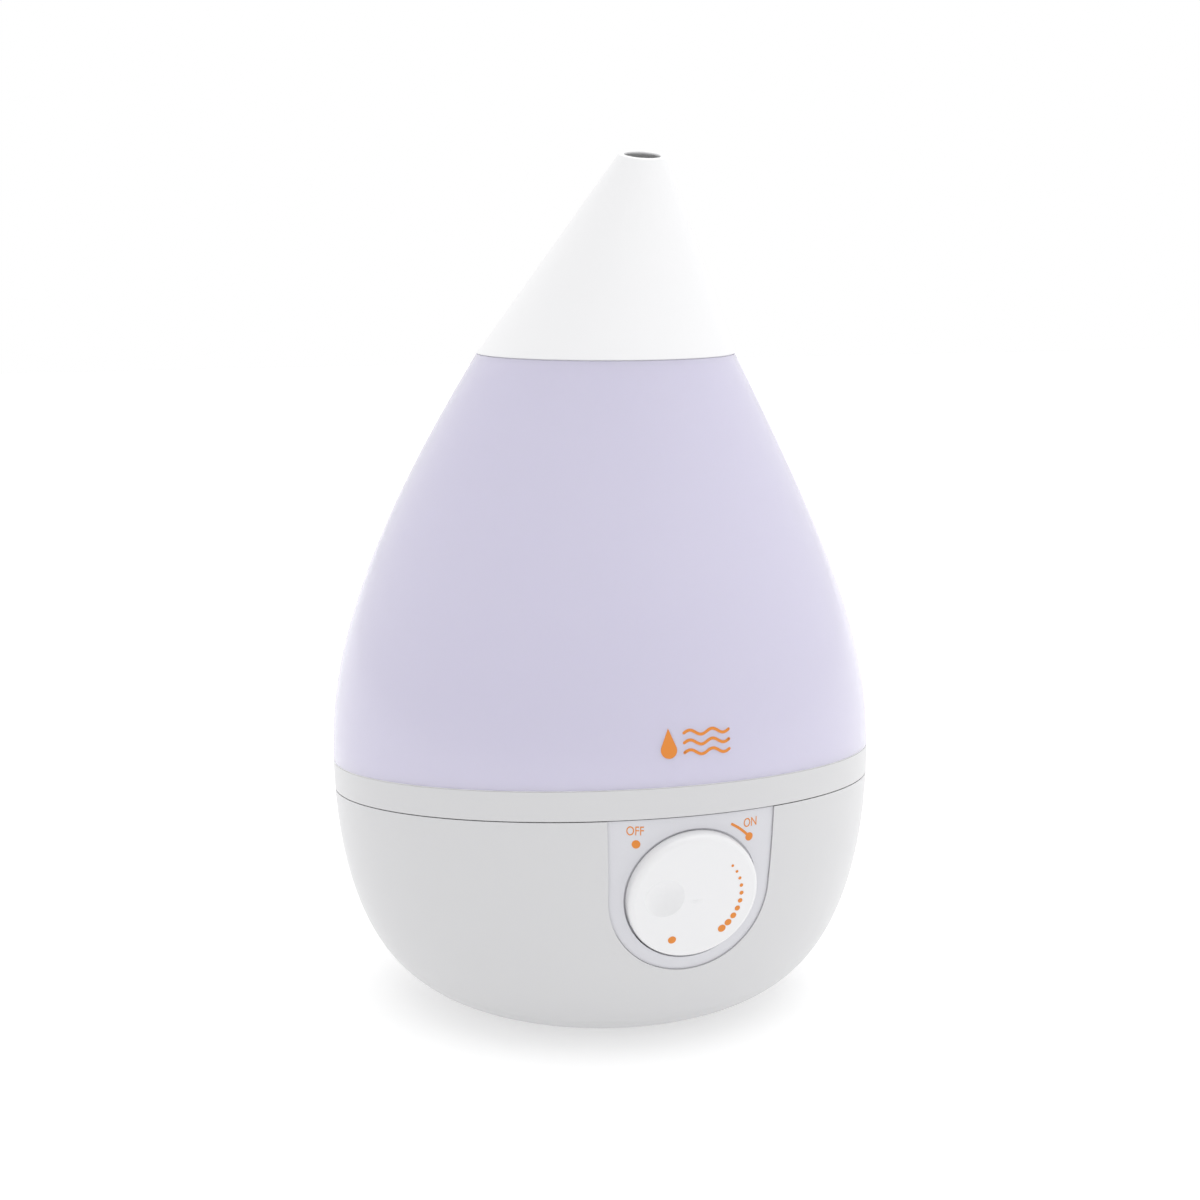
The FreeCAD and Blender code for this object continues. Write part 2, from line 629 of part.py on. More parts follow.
def control_panel():
    top_z = SEAM_Z + SEAM_RISE
    low_z = KNOB_Z - 2 * PANEL_HALF_WIDTH
    face = spun_drop(low_z, top_z, PANEL_RECESS).cut(spun_drop(low_z - 1, top_z + 1, WALL))
    face = face.common(panel_outline(-CLOSE)).common(below_seam(-BAND - SEAM_GAP))
    flange = spun_drop(low_z, top_z, WALL + CLOSE).cut(spun_drop(low_z - 1, top_z + 1, WALL + CLOSE + THIN))
    inner = spun_drop(low_z, top_z, WALL - CLOSE).cut(spun_drop(low_z - 1, top_z + 1, WALL + CLOSE + THIN))
    flange = flange.common(panel_outline(PANEL_FLANGE)).common(below_seam(-BAND - SEAM_GAP))
    inner = inner.common(panel_outline(-CLOSE)).common(below_seam(-BAND - SEAM_GAP))
    radius = KNOB_RADIUS + KNOB_GAP
    cup = from_knob(Part.makeCylinder(radius + THIN, KNOB_FACE + THIN, V(0, 0, WELL_FLOOR - THIN)))
    cup = cup.common(spun_drop(low_z, top_z, PANEL_RECESS)).common(below_seam(-BAND - SEAM_GAP))
    panel = joined([face, inner, flange, cup])
    panel = panel.cut(from_knob(Part.makeCylinder(radius, BODY_RADIUS, V(0, 0, WELL_FLOOR))))
    hole = Part.makeCylinder(BUSH_RADIUS + CLOSE, BODY_RADIUS, V(0, 0, -BODY_RADIUS / 2))
    return panel.cut(from_knob(hole))


def nut_top():
    return WELL_FLOOR + CLOSE + NUT_THICKNESS


def boss_start():
    return nut_top() + 2 * FIT


def control_knob():
    radius = KNOB_RADIUS
    body = Part.makeCylinder(radius, KNOB_FACE - KNOB_BACK, V(0, 0, KNOB_BACK))
    dome = (radius ** 2 + KNOB_DOME ** 2) / (2 * KNOB_DOME)
    body = body.common(Part.makeSphere(dome, V(0, 0, KNOB_FACE - dome)))
    rim_z = KNOB_FACE - KNOB_DOME
    rim = [e for e in body.Edges if abs(e.BoundBox.ZMin - rim_z) < THIN / 2 and e.BoundBox.ZLength < THIN / 2]
    body = body.makeFillet(KNOB_EDGE, rim)
    hollow = Part.makeCylinder(radius - KNOB_EDGE, KNOB_FACE - THIN - DIMPLE_DEPTH - KNOB_BACK + 1,
                               V(0, 0, KNOB_BACK - 1))
    boss = Part.makeCylinder(SHAFT_RADIUS + THIN, KNOB_FACE - THIN - boss_start(), V(0, 0, boss_start()))
    knob = body.cut(hollow).fuse(boss)
    ball = (DIMPLE_RADIUS ** 2 + DIMPLE_DEPTH ** 2) / (2 * DIMPLE_DEPTH)
    angle = math.radians(DIMPLE_ANGLE)
    x, y = DIMPLE_OFFSET * math.cos(angle), DIMPLE_OFFSET * math.sin(angle)
    face = KNOB_FACE - dome + math.sqrt(dome ** 2 - DIMPLE_OFFSET ** 2)
    knob = knob.cut(Part.makeSphere(ball, V(x, y, face + ball - DIMPLE_DEPTH)))
    bore = Part.makeCylinder(SHAFT_RADIUS + CLOSE / 4, KNOB_FACE - THIN - KNOB_BACK, V(0, 0, KNOB_BACK))
    return from_knob(knob.cut(bore).removeSplitter())


def dial_shaft():
    """The potentiometer's shaft, which the knob is pushed onto."""
    low = -DIAL_BODY_DEPTH + THIN / 2
    high = KNOB_FACE - THIN - CLOSE
    return from_knob(Part.makeCylinder(SHAFT_RADIUS, high - low, V(0, 0, low)))


def potentiometer():
    back = WELL_FLOOR - THIN - CLOSE
    can = Part.makeCylinder(DIAL_BODY_RADIUS, DIAL_BODY_DEPTH, V(0, 0, back - DIAL_BODY_DEPTH))
    bush = Part.makeCylinder(BUSH_RADIUS, nut_top() - back + CLOSE, V(0, 0, back))
    body = joined([can, bush])
    terminals = Part.makeBox(DIAL_BODY_RADIUS, DIAL_BODY_RADIUS, THIN,
                             V(-DIAL_BODY_RADIUS / 2, -2 * DIAL_BODY_RADIUS + THIN, back - THIN - 1))
    body = joined([body, terminals])
    hole_low = -DIAL_BODY_DEPTH + THIN / 4
    return from_knob(body.cut(Part.makeCylinder(SHAFT_RADIUS + RUNNING, BODY_RADIUS, V(0, 0, hole_low))))


def potentiometer_nut():
    sides = around(6, NUT_RADIUS)
    corners = [V(x, y, WELL_FLOOR + CLOSE / 2) for x, y in sides + sides[:1]]
    nut = Part.Face(Part.makePolygon(corners)).extrude(V(0, 0, NUT_THICKNESS))
    return from_knob(nut.cut(Part.makeCylinder(BUSH_RADIUS + CLOSE / 2, 4 * NUT_THICKNESS, V(0, 0, -1))))


# ---------------------------------------------------------------- power and boards

def inlet_prism(margin):
    half_w = INLET_WIDTH / 2 + margin
    half_h = INLET_HEIGHT / 2 + margin
    return block(-half_w, half_w, BODY_RADIUS / 2, BIG, INLET_Z - half_h, INLET_Z + half_h)


def inlet_face_y():
    return inset_radius(INLET_Z, WALL)


def power_inlet():
    """Two-pin mains inlet: a shroud in the housing's wall, and a bezel on its outside."""
    low_z, high_z = INLET_Z - INLET_HEIGHT, INLET_Z + INLET_HEIGHT
    bezel = spun_drop(low_z, high_z, -THIN / 2).cut(spun_drop(low_z - 1, high_z + 1, -CLOSE))
    bezel = bezel.common(inlet_prism(INLET_BEZEL))
    back = inlet_face_y() - INLET_DEPTH
    shroud = inlet_prism(-CLOSE).common(spun_drop(low_z, high_z, -THIN / 2))
    shroud = shroud.common(block(-BIG, BIG, back, BIG, 0, BIG))
    half = INLET_HEIGHT / 2 - THIN - CLOSE
    socket = block(-PIN_PITCH / 2, PIN_PITCH / 2, back + WALL, BIG, INLET_Z - half, INLET_Z + half)
    for side in (-1, 1):
        barrel = Part.makeCylinder(half, BIG, V(side * PIN_PITCH / 2, back + WALL, INLET_Z), V(0, 1, 0))
        socket = socket.fuse(barrel)
    body = joined([bezel, shroud]).cut(socket)
    for side in (-1, 1):
        start = V(side * PIN_PITCH / 2, back - 1, INLET_Z)
        body = body.cut(Part.makeCylinder(PIN_RADIUS + CLOSE / 2, 2 * WALL, start, V(0, 1, 0)))
    return body


def inlet_pins():
    pins = []
    back = inlet_face_y() - INLET_DEPTH
    for side in (-1, 1):
        start = V(side * PIN_PITCH / 2, back - 3 * THIN, INLET_Z)
        pin = Part.makeCylinder(PIN_RADIUS, INLET_DEPTH, start, V(0, 1, 0))
        pins.append(pin)
    return Part.makeCompound(pins)


def board(spec):
    x, y, width, depth, top = spec
    plate = block(x - width / 2, x + width / 2, y - depth / 2, y + depth / 2, top - BOARD, top)
    for px, py in board_holes(spec):
        plate = plate.cut(cylinder(SCREW_RADIUS, top - 2 * BOARD, top + 1, px, py))
    return plate


def board_holes(spec):
    """Two corners that lie under the basin's floor: the inner front and the outer back."""
    x, y, width, depth, _ = spec
    dx = math.copysign(width / 2 - BOARD_SCREW_INSET, x)
    dy = depth / 2 - BOARD_SCREW_INSET
    return [(x - dx, y - dy), (x + dx, y + dy)]


def board_standoffs():
    """Spacers between the basin and both boards, each with its screw's thread."""
    posts = []
    for spec in (DRIVER_BOARD, POWER_BOARD):
        for px, py in board_holes(spec):
            post = cylinder(POST_RADIUS - THIN / 2, spec[4] + CLOSE / 2, FLOOR_UNDER_Z - CLOSE / 2, px, py)
            thread = cylinder(SCREW_RADIUS - THIN / 3, spec[4] - 1, FLOOR_UNDER_Z - WALL, px, py)
            posts.append(post.cut(thread))
    return Part.makeCompound(posts)


def board_screws():
    screws = []
    radius = SCREW_RADIUS - THIN / 3 - CLOSE
    for spec in (DRIVER_BOARD, POWER_BOARD):
        for px, py in board_holes(spec):
            z = spec[4] - BOARD - SCREW_HEAD - CLOSE / 2
            screws.append(pan_screw(px, py, z, BOARD + 3 * THIN, 2.6 * radius, radius))
    return Part.makeCompound(screws)


def heat_sink():
    """Finned block under the driver board's power transistor."""
    x, y, _, _, top = DRIVER_BOARD
    high = top - BOARD - CLOSE / 2
    low = high - SINK_HEIGHT
    front, back = y - SINK_DEPTH / 2, y + SINK_DEPTH / 2
    sink = block(x - SINK_WIDTH / 2, x + SINK_WIDTH / 2, front, back, low, high)
    pitch = (SINK_WIDTH - FAN_BLADE) / SINK_SLOTS
    for i in range(SINK_SLOTS):
        left = x - SINK_WIDTH / 2 + FAN_BLADE + pitch * i
        sink = sink.cut(block(left, left + THIN, front - 1, back + 1, low - 1, high - SINK_BASE))
    return sink


def transformer():
    x, y, _, _, top = POWER_BOARD
    high = top - BOARD - CLOSE / 2
    half, deep = CORE_SIZE / 2, CORE_DEPTH / 2
    core = block(x - half, x + half, y - deep, y + deep, high - CORE_HEIGHT, high)
    narrow, wide = half - WINDING_INSET, deep + WINDING_INSET
    winding = block(x - narrow, x + narrow, y - wide, y + wide,
                    high - CORE_HEIGHT + WINDING_INSET, high - WINDING_INSET)
    return joined([core, winding])


def capacitor():
    x, y, _, _, top = POWER_BOARD
    high = top - BOARD - CLOSE / 2
    return cylinder(CAPACITOR_RADIUS, high - CAPACITOR_HEIGHT, high, x + CAPACITOR_X, y + CAPACITOR_Y)


# ---------------------------------------------------------------- leads

def rounded_path(points):
    """Straight runs joined by tangent arcs, each as large as its two runs allow."""
    runs = [points[i + 1].sub(points[i]) for i in range(len(points) - 1)]
    edges = []
    last = points[0]
    for i in range(1, len(points) - 1):
        before, after = runs[i - 1], runs[i]
        turn = before.getAngle(after)
        cut = 0.45 * min(before.Length, after.Length)
        start = points[i].sub(V(before).normalize().multiply(cut))
        end = points[i].add(V(after).normalize().multiply(cut))
        radius = cut / math.tan(turn / 2)
        middle = start.add(end).multiply(0.5)
        inward = middle.sub(points[i]).normalize()
        centre = points[i].add(inward.multiply(math.hypot(radius, cut)))
        crown = centre.add(points[i].sub(centre).normalize().multiply(radius))
        edges.append(Part.makeLine(last, start))
        edges.append(Part.Arc(start, crown, end).toShape())
        last = end
    edges.append(Part.makeLine(last, points[-1]))
    return Part.Wire(edges)


def lead(points):
    """A sheathed pair of wires along a route."""
    path = rounded_path(points)
    along = points[1].sub(points[0])
    section = Part.Wire(Part.makeCircle(LEAD_RADIUS, points[0], along))
    return path.makePipeShell([section], True, False)


def transducer_leads():
    x, y, _, _, top = DRIVER_BOARD
    start = disc_z() - CLOSE / 2
    end_x, end_y = x + LEAD_EDGE, y + 4
    return lead([V(-3, MIST_Y, start), V(-3, MIST_Y, CLAMP_Z - LEAD_DROP), V(-25, MIST_Y - 2, CLAMP_Z - 9),
                 V(end_x, end_y, top + LEAD_DROP), V(end_x, end_y, top + CLOSE)])


def fan_leads():
    x, y, _, _, top = DRIVER_BOARD
    side = -FAN_SIZE / 2 - CLOSE
    high = top - BOARD - CLOSE
    middle = FAN_Z + FAN_DEPTH / 2
    end_x, end_y = x + LEAD_EDGE, y + 13
    return lead([V(side, -3, middle), V(side - LEAD_DROP, -3, middle), V(end_x, end_y, high - LEAD_DROP),
                 V(end_x, end_y, high)])


def dial_leads():
    x, y, _, _, top = DRIVER_BOARD
    back = WELL_FLOOR - THIN - 2 * THIN - CLOSE
    start = from_knob(Part.Vertex(0, THIN - 2 * DIAL_BODY_RADIUS - CLOSE, back)).Point
    return lead([start, start.add(V(-3, 6, -4)), V(-30, -78, top + 6), V(x + 12, y - 38, top + 5),
                 V(x + 7, y - 17, top + LEAD_DROP), V(x + 7, y - 17, top + CLOSE)])


def inlet_leads():
    """One lead from each pin, the two running one above the other."""
    x, y, _, _, top = POWER_BOARD
    back = inlet_face_y() - INLET_DEPTH - 3 * THIN - CLOSE
    leads = []
    for side in (-1, 1):
        z = INLET_Z + 2 * side * LEAD_RADIUS
        start_x = side * PIN_PITCH / 2
        end_x = x - 6 + 2 * side * LEAD_RADIUS
        leads.append(lead([V(start_x, back, INLET_Z), V(start_x, back - 6, INLET_Z), V(26, back - 16, z),
                           V(48, 44, z), V(end_x, y + 48, z + 3), V(end_x, y + 18, top + LEAD_DROP),
                           V(end_x, y + 18, top + CLOSE)]))
    return Part.makeCompound(leads)


def float_leads():
    x, y, _, _, top = POWER_BOARD
    start = FLOOR_UNDER_Z - THIN - 2 * CLOSE
    start_x, start_y = FLOAT_X + 2, FLOAT_Y - 6
    end_x, end_y = x + 7, y + 20
    low = start - LEAD_DROP
    return lead([V(start_x, start_y, start), V(start_x, start_y, low), V(end_x, end_y, low),
                 V(end_x, end_y, top + CLOSE)])


def link_leads():
    """Between the two boards, in front of the fan."""
    high = POWER_BOARD[4] - BOARD - CLOSE
    half = POWER_BOARD[0] - 14
    right = [V(half, -37, high), V(half, -37, high - LEAD_DROP), V(half - 6, -50, high - 11),
             V(20, -56, high - 12)]
    left = [V(-p.x, p.y, p.z) for p in reversed(right)]
    return lead(right + left)


# ---------------------------------------------------------------- tank

def tank_shell():
    low_z = SEAM_Z - SEAM_RISE - 2
    shell = skinned_drop(low_z, NOZZLE_Z - SEAM_GAP).cut(skinned_drop(low_z - 1, NOZZLE_Z + 1, WALL))
    return shell.cut(below_seam(SEAM_GAP))


def tank_top():
    """Recessed top that closes the tank round the mist tube and takes the collar."""
    plate = skinned_drop(WELL_Z - WALL, WELL_TOP_Z + WALL, WALL + CLOSE)
    plate = plate.common(block(-BIG, BIG, -BIG, BIG, WELL_Z, WELL_TOP_Z))
    inner = COLLAR_RADIUS + FIT
    y = -LEAN_AT_NOZZLE
    rim = ring(inner + THIN, inner, WELL_TOP_Z - 0.5, NOZZLE_Z - SEAM_GAP - FIT, 0, y)
    top = joined([plate, rim])
    return top.cut(cylinder(TUBE_RADIUS, 0, BIG, 0, y))


def mist_tube():
    y = -LEAN_AT_NOZZLE
    return ring(TUBE_RADIUS + TUBE_WALL, TUBE_RADIUS, TUBE_BOTTOM_Z, WELL_Z - CLOSE / 2, 0, y)


def neck_lugs(z, inner, outer, first):
    """Three short lugs of a bayonet, as arcs of a ring."""
    band = ring(outer, inner, z, z + LUG_HEIGHT, CAP_X, CAP_Y)
    lugs = []
    for i in range(3):
        wedge = Part.makeCylinder(outer + 1, LUG_HEIGHT, V(CAP_X, CAP_Y, z), UP, LUG_SPAN)
        wedge.rotate(V(CAP_X, CAP_Y, 0), UP, first + 120 * i)
        lugs.append(band.common(wedge))
    return lugs


def tank_floor():
    """Moulded floor, parallel to the seam, with the filling neck and a collar on the tube."""
    low_z = SEAM_Z - SEAM_RISE
    high_z = SEAM_Z + 2 * TANK_FLOOR_RISE + SEAM_RISE
    plate = spun_drop(low_z, high_z, WALL + CLOSE).common(seam_slab(TANK_FLOOR_RISE, TANK_FLOOR_RISE + WALL))
    y = -LEAN_AT_NOZZLE
    tube = TUBE_RADIUS + TUBE_WALL + CLOSE / 2
    under = below_seam(TANK_FLOOR_RISE + WALL / 2)
    collar = ring(tube + THIN, tube, SEAM_Z, BIG / 2, 0, y).common(under)
    neck = cylinder(NECK_RADIUS + WALL, NECK_Z, BIG / 2, CAP_X, CAP_Y).common(under)
    lugs = neck_lugs(NECK_Z + LUG_HEIGHT + LUG, NECK_RADIUS + WALL - 0.5, NECK_RADIUS + WALL + LUG, 0)
    floor = joined([plate, collar, neck] + lugs)
    floor = floor.cut(cylinder(tube, 0, BIG, 0, y))
    return floor.cut(cylinder(NECK_RADIUS, 0, BIG, CAP_X, CAP_Y))


def tank_cap():
    inner = NECK_RADIUS + WALL + LUG + FIT
    cap = cylinder(CAP_RADIUS, CAP_Z, CAP_TOP_Z, CAP_X, CAP_Y)
    cap = cap.cut(cylinder(inner, CAP_Z + WALL, CAP_TOP_Z + 1, CAP_X, CAP_Y))
    lug_inner = NECK_RADIUS + WALL + FIT
    low_lug_z = NECK_Z + LUG - FIT
    cap = joined([cap] + neck_lugs(low_lug_z - FIT, lug_inner, inner + 0.5, 0))
    for x, y in around(GRIPS, CAP_RADIUS + 0.4):
        cap = cap.cut(cylinder(GRIP_RADIUS, CAP_Z - 1, CAP_TOP_Z + 1, x + CAP_X, y + CAP_Y))
    cap = cap.cut(cylinder(STEM_RADIUS + RUNNING, CAP_Z - 1, CAP_TOP_Z, CAP_X, CAP_Y))
    for x, y in around(5, VALVE_DISC_RADIUS - THIN):
        cap = cap.cut(cylinder(THIN - FIT, CAP_Z - 1, CAP_TOP_Z, x + CAP_X, y + CAP_Y))
    return cap


def cap_gasket():
    return ring(NECK_RADIUS + WALL, NECK_RADIUS + FIT, CAP_Z + WALL + CLOSE / 2, NECK_Z - SEAM_GAP,
                CAP_X, CAP_Y)


def valve_seal_z():
    """Underside of the valve's seal while the tank stands on its base, valve open."""
    return CAP_Z + WALL + CLOSE + VALVE_LIFT


def valve_plunger():
    seal_top = valve_seal_z() + VALVE_DISC
    stem = cylinder(STEM_RADIUS, STEM_FOOT_Z, seal_top + 1, CAP_X, CAP_Y)
    disc = cylinder(VALVE_DISC_RADIUS, seal_top, seal_top + VALVE_DISC, CAP_X, CAP_Y)
    foot = cylinder(STEM_FOOT_RADIUS, STEM_FOOT_Z, STEM_FOOT_Z + VALVE_DISC, CAP_X, CAP_Y)
    return joined([stem, disc, foot])


def valve_seal():
    z = valve_seal_z()
    return ring(VALVE_DISC_RADIUS + 1, STEM_RADIUS + CLOSE / 2, z, z + VALVE_DISC - CLOSE / 2, CAP_X, CAP_Y)


def valve_spring():
    wire = SPRING_WIRE / 2
    low = STEM_FOOT_Z + VALVE_DISC + wire + CLOSE
    height = CAP_Z - CLOSE - wire - low
    path = Part.makeHelix(height / SPRING_TURNS, height, SPRING_RADIUS)
    section = Part.Wire(Part.makeCircle(wire, V(SPRING_RADIUS, 0, 0), V(0, 1, 0)))
    coil = Part.Wire(path).makePipeShell([section], True, True)
    coil.translate(V(CAP_X, CAP_Y, low))
    return coil


# ---------------------------------------------------------------- nozzle

def nozzle_collar():
    """Ring that drops into the tank's top and carries the turning nozzle."""
    y = -LEAN_AT_NOZZLE
    top = NOZZLE_Z - SEAM_GAP - FIT
    wall = ring(COLLAR_RADIUS, COLLAR_RADIUS - THIN, COLLAR_Z, top, 0, y)
    floor = ring(COLLAR_RADIUS, TUBE_RADIUS, COLLAR_Z, COLLAR_Z + THIN, 0, y)
    collar = joined([wall, floor])
    for x, py in around(8, (COLLAR_RADIUS + TUBE_RADIUS) / 2 + TUBE_WALL):
        collar = collar.cut(cylinder(THIN, COLLAR_Z - 1, COLLAR_Z + THIN + 1, x, py + y))
    return collar


def nozzle_base_radius():
    return outline_radius(NOZZLE_Z)


def oblique_cone(low_z, inset):
    """A cone from the seam to the mouth, its tip leaning forward."""
    drop = MOUTH_RADIUS * math.sin(math.radians(MOUTH_TILT))
    middle_z = HEIGHT - drop
    top_z = HEIGHT + 6
    base = nozzle_base_radius()
    share = (top_z - NOZZLE_Z) / (middle_z - NOZZLE_Z)
    start = (low_z - NOZZLE_Z) / (middle_z - NOZZLE_Z)
    circles = []
    for along, z in ((start, low_z), (share, top_z)):
        radius = base + (MOUTH_RADIUS - base) * along - inset
        y = -LEAN_AT_NOZZLE - (LEAN_AT_TIP - LEAN_AT_NOZZLE) * along
        circles.append(Part.Wire(Part.makeCircle(radius, V(0, y, z), UP)))
    return Part.makeLoft(circles, True, True)


def mist_nozzle():
    drop = MOUTH_RADIUS * math.sin(math.radians(MOUTH_TILT))
    cone = oblique_cone(NOZZLE_Z, 0.0).cut(oblique_cone(NOZZLE_Z + WALL, WALL))
    y = -LEAN_AT_NOZZLE
    skirt_outer = COLLAR_RADIUS - THIN - FIT
    cone = cone.cut(cylinder(skirt_outer - THIN - CLOSE, 0, NOZZLE_Z + 2 * WALL, 0, y))
    skirt = ring(skirt_outer, skirt_outer - THIN, COLLAR_Z + THIN + 2 * FIT, NOZZLE_Z + WALL, 0, y)
    lid = Part.makeBox(BIG, BIG, BIG, V(-BIG / 2, -BIG / 2, 0))
    lid.rotate(V(0, 0, 0), V(1, 0, 0), MOUTH_TILT)
    lid.translate(V(0, -LEAN_AT_TIP, HEIGHT - drop))
    nozzle = joined([cone, skirt]).cut(lid)
    rim = [e for e in nozzle.Edges if e.BoundBox.ZMin > HEIGHT - 4 * drop]
    return nozzle.makeFillet(MOUTH_ROUNDING, rim)


# ---------------------------------------------------------------- output

NODES = {
    "lower_housing": lower_housing,
    "bottom_cover": bottom_cover,
    "rubber_feet": rubber_feet,
    "housing_screws": housing_screws,
    "deck_ring": deck_ring,
    "basin": basin,
    "air_chimney": air_chimney,
    "float_post": float_post,
    "valve_post": valve_post,
    "fan_frame": fan_frame,
    "fan_coil": fan_coil,
    "fan_rotor": fan_rotor,
    "fan_shaft": fan_shaft,
    "fan_screws": fan_screws,
    "air_duct": air_duct,
    "transducer_disc": transducer_disc,
    "transducer_seal": transducer_seal,
    "transducer_clamp": transducer_clamp,
    "transducer_screws": transducer_screws,
    "float_body": float_body,
    "float_magnet": float_magnet,
    "float_clip": float_clip,
    "reed_switch": reed_switch,
    "control_panel": control_panel,
    "control_knob": control_knob,
    "dial_shaft": dial_shaft,
    "potentiometer": potentiometer,
    "potentiometer_nut": potentiometer_nut,
    "power_inlet": power_inlet,
    "inlet_pins": inlet_pins,
    "driver_board": lambda: board(DRIVER_BOARD),
    "power_board": lambda: board(POWER_BOARD),
    "board_standoffs": board_standoffs,
    "board_screws": board_screws,
    "heat_sink": heat_sink,
    "transformer": transformer,
    "capacitor": capacitor,
    "transducer_leads": transducer_leads,
    "fan_leads": fan_leads,
    "dial_leads": dial_leads,
    "inlet_leads": inlet_leads,
    "float_leads": float_leads,
    "link_leads": link_leads,
    "tank_shell": tank_shell,
    "tank_top": tank_top,
    "mist_tube": mist_tube,
    "tank_floor": tank_floor,
    "tank_cap": tank_cap,
    "cap_gasket": cap_gasket,
    "valve_plunger": valve_plunger,
    "valve_seal": valve_seal,
    "valve_spring": valve_spring,
    "nozzle_collar": nozzle_collar,
    "mist_nozzle": mist_nozzle,
}


def main():
    os.makedirs("parts", exist_ok=True)
    for name, make in NODES.items():
        shape = make()
        count = len(shape.Solids)
        print(f"{name:20s} solids {count} valid {shape.isValid()} volume {shape.Volume / 1000:.2f} cm3")
        shape.exportStep(f"parts/{name}.step")


main()
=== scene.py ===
import json
import math

import bmesh
import bpy
from mathutils import Matrix, Vector


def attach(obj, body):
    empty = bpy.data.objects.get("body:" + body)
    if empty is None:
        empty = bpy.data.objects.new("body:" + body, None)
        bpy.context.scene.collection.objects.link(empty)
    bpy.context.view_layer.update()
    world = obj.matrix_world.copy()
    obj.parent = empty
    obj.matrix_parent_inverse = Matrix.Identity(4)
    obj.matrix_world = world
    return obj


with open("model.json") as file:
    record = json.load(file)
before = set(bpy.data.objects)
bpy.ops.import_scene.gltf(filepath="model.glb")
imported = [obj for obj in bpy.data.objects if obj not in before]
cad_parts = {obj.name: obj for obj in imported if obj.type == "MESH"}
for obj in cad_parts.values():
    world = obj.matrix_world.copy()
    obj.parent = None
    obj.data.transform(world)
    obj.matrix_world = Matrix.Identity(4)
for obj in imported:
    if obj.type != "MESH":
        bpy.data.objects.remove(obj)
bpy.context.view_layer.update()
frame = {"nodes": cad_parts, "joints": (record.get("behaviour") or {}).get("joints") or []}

bl_info = {
    "name": "Cool mist humidifier",
    "version": (1, 0, 0),
    "blender": (4, 5, 0),
    "location": "View3D > Sidebar > Humidifier",
    "description": "Finishes a droplet-shaped humidifier: moulded plastics, printed marks and the stage",
    "category": "Object",
}

MM = 0.001
NODES = frame["nodes"]
JOINTS = {joint["name"]: joint for joint in frame["joints"]}


# ---------------------------------------------------------------- places read from the frame

def knob_frame():
    """The knob's own frame: x to the right, y up its face, z out of the face."""
    joint = JOINTS["knob_turn"]
    out = Vector(joint["axis"]).normalized()
    right = Vector((1, 0, 0))
    up = out.cross(right)
    turn = Matrix((right, up, out)).transposed().to_4x4()
    return Matrix.Translation(Vector(joint["pos_m"])) @ turn


KNOB_FRAME = knob_frame()


# ---------------------------------------------------------------- meshes

SHARP_ANGLE = math.radians(40)   # edges that turn more than this stay sharp


def new_piece(name, bm, material, body):
    """Turns a bmesh into a finished piece that rides on a body."""
    bmesh.ops.recalc_face_normals(bm, faces=bm.faces)
    mesh = bpy.data.meshes.new(name)
    bm.to_mesh(mesh)
    bm.free()
    mesh.shade_smooth()
    mesh.set_sharp_from_angle(angle=SHARP_ANGLE)
    piece = bpy.data.objects.new(name, mesh)
    bpy.context.scene.collection.objects.link(piece)
    mesh.materials.append(material)
    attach(piece, body)
    return piece


# ---------------------------------------------------------------- materials

def to_linear(code):
    """A linear colour from an sRGB hex code."""
    values = [int(code[i:i + 2], 16) / 255 for i in (1, 3, 5)]
    return tuple(v / 12.92 if v <= 0.04045 else ((v + 0.055) / 1.055) ** 2.4 for v in values) + (1.0,)


def add_node(tree, kind, settings=None, inputs=None):
    """Adds a node, sets its properties, and sets or links its inputs."""
    node = tree.nodes.new(kind)
    for key, value in (settings or {}).items():
        setattr(node, key, value)
    for key, value in (inputs or {}).items():
        if isinstance(value, bpy.types.NodeSocket):
            tree.links.new(value, node.inputs[key])
        else:
            node.inputs[key].default_value = value
    return node


def start_material(name):
    material = bpy.data.materials.new(name)
    material.use_nodes = True
    material.node_tree.nodes.clear()
    return material, material.node_tree


def finish_material(tree, surface):
    output = add_node(tree, "ShaderNodeOutputMaterial")
    tree.links.new(surface, output.inputs["Surface"])


def object_place(tree):
    return add_node(tree, "ShaderNodeTexCoord").outputs["Object"]


def grain(tree, size, detail=3.0, roughness=0.5):
    """Noise whose grains are about that many metres across."""
    return add_node(tree, "ShaderNodeTexNoise", {"noise_dimensions": "3D"},
                    {"Vector": object_place(tree), "Scale": 1 / size, "Detail": detail,
                     "Roughness": roughness}).outputs["Fac"]


def spread(tree, fac, low, high):
    """A value that follows a pattern between two limits."""
    return add_node(tree, "ShaderNodeMapRange", None,
                    {"Value": fac, "From Min": 0.3, "From Max": 0.7,
                     "To Min": low, "To Max": high}).outputs["Result"]


def tinted(tree, fac, one, other):
    """A colour that follows a pattern between two sRGB codes."""
    mix = add_node(tree, "ShaderNodeMix", {"data_type": "RGBA"}, {"Factor": fac})
    mix.inputs[6].default_value = to_linear(one)
    mix.inputs[7].default_value = to_linear(other)
    return mix.outputs[2]


def bump(tree, height, strength, depth):
    return add_node(tree, "ShaderNodeBump", None,
                    {"Height": height, "Strength": strength, "Distance": depth}).outputs["Normal"]


PLASTIC_IOR = 1.54               # ABS and similar plastics
SCATTER = (4 * MM, 4 * MM, 4 * MM)
TANK_SCATTER = (8 * MM, 8 * MM, 8 * MM)
TANK_IOR = 1.49                  # polypropylene


